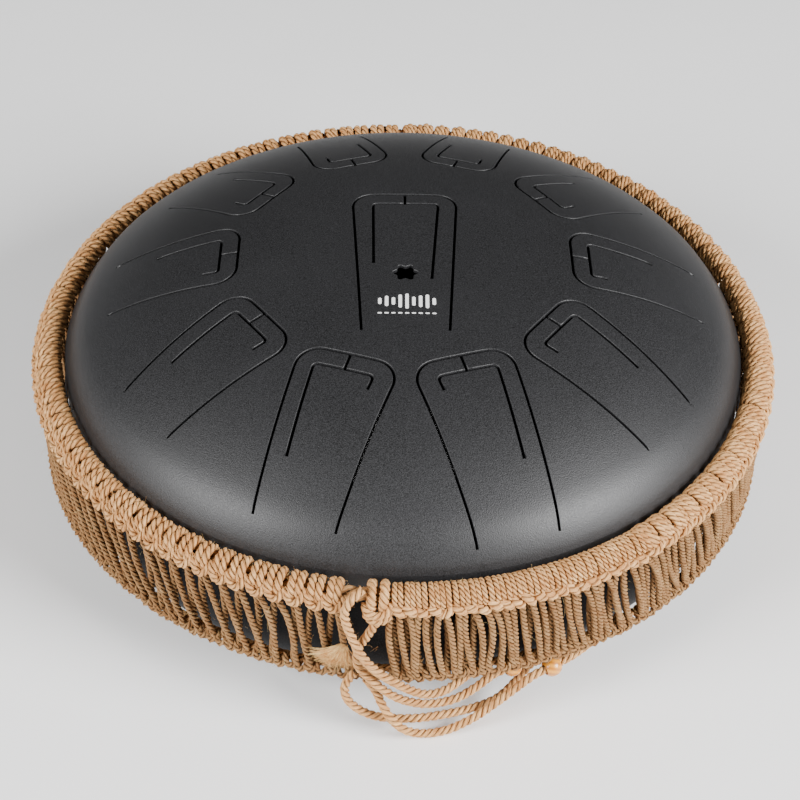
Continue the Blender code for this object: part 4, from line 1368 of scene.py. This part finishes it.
class DRUM_OT_upper_ring(bpy.types.Operator):
    """Wrap the upper ring: core cord, lark's heads and the hitches beneath them"""
    bl_idname = "drum.upper_ring"
    bl_label = "Upper ring"

    def execute(self, context):
        lay = context.scene.drum_jute.lay / MM
        wraps = [Cordage(SEED + 20 + i) for i in range(4)]
        hitches = [Cordage(SEED + 30 + i) for i in range(4)]
        for angle, kind in collar_units():
            cord, hitch = wraps[sector(angle)], hitches[sector(angle)]
            draw = cord.draw
            angle += draw.gauss(0, 0.25) / RING_RADIUS
            if kind == PAIR:
                self.pair(cord, hitch, angle, lay, draw)
            elif kind == CLOSE:
                self.close(cord, hitch, angle, lay, draw)
            else:
                self.thick(cord, hitch, angle, lay, draw)
        mat = jute_material(context, "laid_jute_cord")
        add_collar_pieces("ring_wraps", wraps, "collar_upper_ring", mat)
        add_collar_pieces("ring_hitches", hitches, "collar_upper_ring", mat)
        core = Cordage(SEED + 40)
        core.rope(turned_ring(RING_RADIUS, ring_level), CORE_CORD, CORE_LAY, sides=8)
        add_piece("ring_core", core.mesh("ring_core"), mat, "drum",
                  ("collar_upper_ring",))
        return {"FINISHED"}

    def pair(self, cord, hitch, angle, lay, draw):
        """Two fat wraps that close to a V, cradled by one hitch."""
        level = ring_level(angle)
        reach = WRAP_REACH[PAIR] + draw.gauss(0, 0.12)
        for side in (-1, 1):
            cord.rope(wrap_route(angle, side * 1.85 + draw.gauss(0, 0.25),
                                 side * 0.9 + draw.gauss(0, 0.2), reach, -38, 196),
                      WRAP_CORD[PAIR], lay * 1.15, sides=6)
        tilt = draw.gauss(0, 0.7)
        hitch.rope([on_collar(angle, u, r, level + z + tilt * u / 4) for u, r, z in CRADLE],
                   CRADLE_CORD, lay * 1.05, sides=6)

    def close(self, cord, hitch, angle, lay, draw):
        """Two thin wraps side by side over one small knot."""
        level = ring_level(angle)
        reach = WRAP_REACH[CLOSE] + draw.gauss(0, 0.12)
        for side in (-1, 1):
            cord.rope(wrap_route(angle, side * 1.32 + draw.gauss(0, 0.18), side * 1.25 + 0.8,
                                 reach, -30, 196), WRAP_CORD[CLOSE], lay * 0.9)
        tilt = draw.gauss(0.0, 0.9)
        drop = draw.gauss(0, 0.6)
        hitch.rope([on_collar(angle, u + 0.4, r, level + z + drop + tilt * u / 2.5)
                    for u, r, z in SMALL_KNOT], KNOT_HITCH_CORD, lay, sides=6)

    def thick(self, cord, hitch, angle, lay, draw):
        """Three slanting wraps over a slanting hitch."""
        level = ring_level(angle)
        reach = WRAP_REACH[THICK] + draw.gauss(0, 0.12)
        for side, more in ((-1, -0.2), (0, 0.6), (1, -0.2)):
            cord.rope(wrap_route(angle, side * 2.6 - 0.8 + draw.gauss(0, 0.25),
                                 side * 1.9 + 1.8, reach + more, -34, 196),
                      WRAP_CORD[THICK], lay * 1.05, sides=6)
        hitch.rope([on_collar(angle, u + 1.4, r, level + z + draw.gauss(0, 0.2))
                    for u, r, z in SLANTING_HITCH], KNOT_HITCH_CORD, lay, sides=6)


def lean_at(angle):
    """How far a net strand drifts round the drum on its way down, in mm."""
    return 2.0 + 15.0 * min(abs(angle) / radians(60), 1.0)


# The right half's two rows of strands: pitch, distance from the axis, share of the lean.
NET_ROWS = ((4.35, 188.0, 1.0), (6.3, 185.2, 0.55))


class DRUM_OT_net(bpy.types.Operator):
    """Hang the net's strands between the two rings"""
    bl_idname = "drum.net"
    bl_label = "Net"

    def execute(self, context):
        settings = context.scene.drum_jute
        self.radius, self.lay = settings.strand / 2 / MM, settings.lay / MM
        cords = [Cordage(SEED + 50 + i) for i in range(4)]
        for angle, kind in collar_units():
            if kind == PAIR:
                cord = cords[sector(angle)]
                draw = cord.draw
                lean = lean_at(angle)
                self.strand(cord, angle, 1.0, 1.2 + lean + draw.gauss(0, 0.8), 188.0)
                self.strand(cord, angle, -1.6, -5.6 + lean * 0.45 + draw.gauss(0, 0.8), 185.4)
        for pitch, out, share in NET_ROWS:
            angle = radians(-2.0)
            while angle < pi - radians(0.8):
                cord = cords[sector(angle)]
                draw = cord.draw
                lean = lean_at(angle) * share
                self.strand(cord, angle, draw.gauss(0, 0.45), lean + draw.gauss(0, 1.3),
                            out + draw.gauss(0, 0.3))
                angle += pitch * draw.uniform(0.86, 1.12) / RING_RADIUS
        # The net's jute is the darker copy: painted shade below the lit wraps.
        add_collar_pieces("net_strands", cords, "collar_net",
                          jute_material(context, "shaded_net_jute_cord"))
        return {"FINISHED"}

    def strand(self, cord, angle, top, bottom, out):
        """One strand from the upper ring's hitches to its turn round the lower ring."""
        draw = cord.draw
        level = ring_level(angle)
        sway = draw.gauss(0, 1.2)
        high, low = level - 3.5, LOWER_RING_LEVEL + 3.5
        route = [on_collar(angle, top, min(out, 186.6), high + 2.5),
                 on_collar(angle, top, out - 0.2, high - 3.0)]
        for t in (0.3, 0.55, 0.8):
            route.append(on_collar(angle, top + (bottom - top) * t ** 1.15 + sway * sin(pi * t),
                                   out + 0.35 * sin(pi * t) - 0.9 * t,
                                   high + (low - high) * t))
        route += [on_collar(angle, bottom, min(out, 187.0) - 0.4, low),
                  on_collar(angle, bottom + 0.6, min(out, 187.2) - 0.2, low - 3.6),
                  on_collar(angle, bottom + 1.0, min(out, 187.0) - 2.2, low - 6.2),
                  on_collar(angle, bottom + 1.2, 182.0, low - 6.6)]
        cord.rope(route, self.radius, self.lay)


class DRUM_OT_lower_ring(bpy.types.Operator):
    """Make the lower ring: a drawcord with a row of loops round it"""
    bl_idname = "drum.lower_ring"
    bl_label = "Lower ring"

    def execute(self, context):
        lay = context.scene.drum_jute.lay / MM
        loops = [Cordage(SEED + 60 + i) for i in range(2)]
        count = round(2 * pi * LOWER_RING_RADIUS / LOOP_PITCH)
        for i in range(count):
            angle = -pi + 2 * pi * (i + 0.5) / count
            cord = loops[0 if angle < 0 else 1]
            draw = cord.draw
            level = LOWER_RING_LEVEL + draw.gauss(0, 0.35)
            turn = draw.gauss(0, 0.5)
            cord.rope([on_collar(angle, u, r, level + z + turn * u / 3)
                       for u, r, z in LOWER_LOOP], LOOP_CORD, lay)
        # The loops use the net's darker jute: painted shade low on the collar.
        add_collar_pieces("lower_loops", loops, "collar_lower_ring",
                          jute_material(context, "shaded_net_jute_cord"))
        drawcord = Cordage(SEED + 70)
        drawcord.rope(turned_ring(LOWER_RING_RADIUS, lambda _: LOWER_RING_LEVEL), DRAWCORD,
                      DRAWCORD_LAY, sides=6)
        add_piece("drawcord", drawcord.mesh("drawcord"),
                  jute_material(context, "laid_jute_cord"), "drum",
                  ("collar_lower_ring",))
        return {"FINISHED"}


class DRUM_OT_stray_fibres(bpy.types.Operator):
    """Scatter the single fibres that stand out of the collar's cords"""
    bl_idname = "drum.stray_fibres"
    bl_label = "Stray fibres"

    def execute(self, context):
        cordage = Cordage(SEED + 80)
        draw = cordage.draw
        for _ in range(context.scene.drum_jute.fibres):
            angle = draw.uniform(-pi, pi)
            level = ring_level(angle)
            if draw.random() < 0.55:
                turn = radians(draw.uniform(-20, 105))
                start = on_collar(angle, 0, RING_RADIUS + 6.9 * cos(turn), level + 6.9 * sin(turn))
                out = Vector((cos(turn) * sin(angle), -cos(turn) * cos(angle), sin(turn)))
            else:
                start = on_collar(angle, 0, 188.4, draw.uniform(34, level - 6))
                out = Vector((sin(angle), -cos(angle), 0))
            long = draw.uniform(1.2, 3.6) if draw.random() < 0.9 else draw.uniform(4, 8)
            side = Vector([draw.gauss(0, 1) for _ in range(3)])
            way = (out * 0.6 + side * 0.55).normalized()
            bend = Vector([draw.gauss(0, 0.5) for _ in range(3)])
            route = [start + way * (long * t) + bend * (long * t * t * 0.6)
                     for t in (0.0, 0.25, 0.5, 0.75, 1.0)]
            cordage.fibre(route, STRAY_FIBRE)
        mat = jute_material(context, "stray_jute_fibre")
        add_piece("stray_fibres", cordage.mesh("stray_fibres"), mat, "drum")
        return {"FINISHED"}


# ---- panel and registration ------------------------------------------------------------------

OPERATORS = (DRUM_OT_stage, DRUM_OT_loose_cords, DRUM_OT_shells, DRUM_OT_tongues, DRUM_OT_mark,
             DRUM_OT_feet, DRUM_OT_upper_ring, DRUM_OT_net, DRUM_OT_lower_ring,
             DRUM_OT_stray_fibres)


class DRUM_PT_build(bpy.types.Panel):
    bl_label = "Tongue drum"
    bl_idname = "DRUM_PT_build"
    bl_space_type = "VIEW_3D"
    bl_region_type = "UI"
    bl_category = "Tongue drum"

    def draw(self, context):
        for group in (context.scene.drum_steel, context.scene.drum_jute,
                      context.scene.drum_wood):
            box = self.layout.box()
            for name in group.__annotations__:
                box.prop(group, name)
        for operator in OPERATORS:
            self.layout.operator(operator.bl_idname)


CLASSES = (SteelSettings, JuteSettings, WoodSettings, *OPERATORS, DRUM_PT_build)
GROUPS = (("drum_steel", SteelSettings), ("drum_jute", JuteSettings), ("drum_wood", WoodSettings))


def register():
    for cls in CLASSES:
        bpy.utils.register_class(cls)
    for name, group in GROUPS:
        setattr(bpy.types.Scene, name, bpy.props.PointerProperty(type=group))


def unregister():
    for name, _ in GROUPS:
        delattr(bpy.types.Scene, name)
    for cls in reversed(CLASSES):
        bpy.utils.unregister_class(cls)


def main():
    register()
    for operator in OPERATORS:
        area, name = operator.bl_idname.split(".")
        getattr(getattr(bpy.ops, area), name)()


if __name__ == "__main__":
    main()
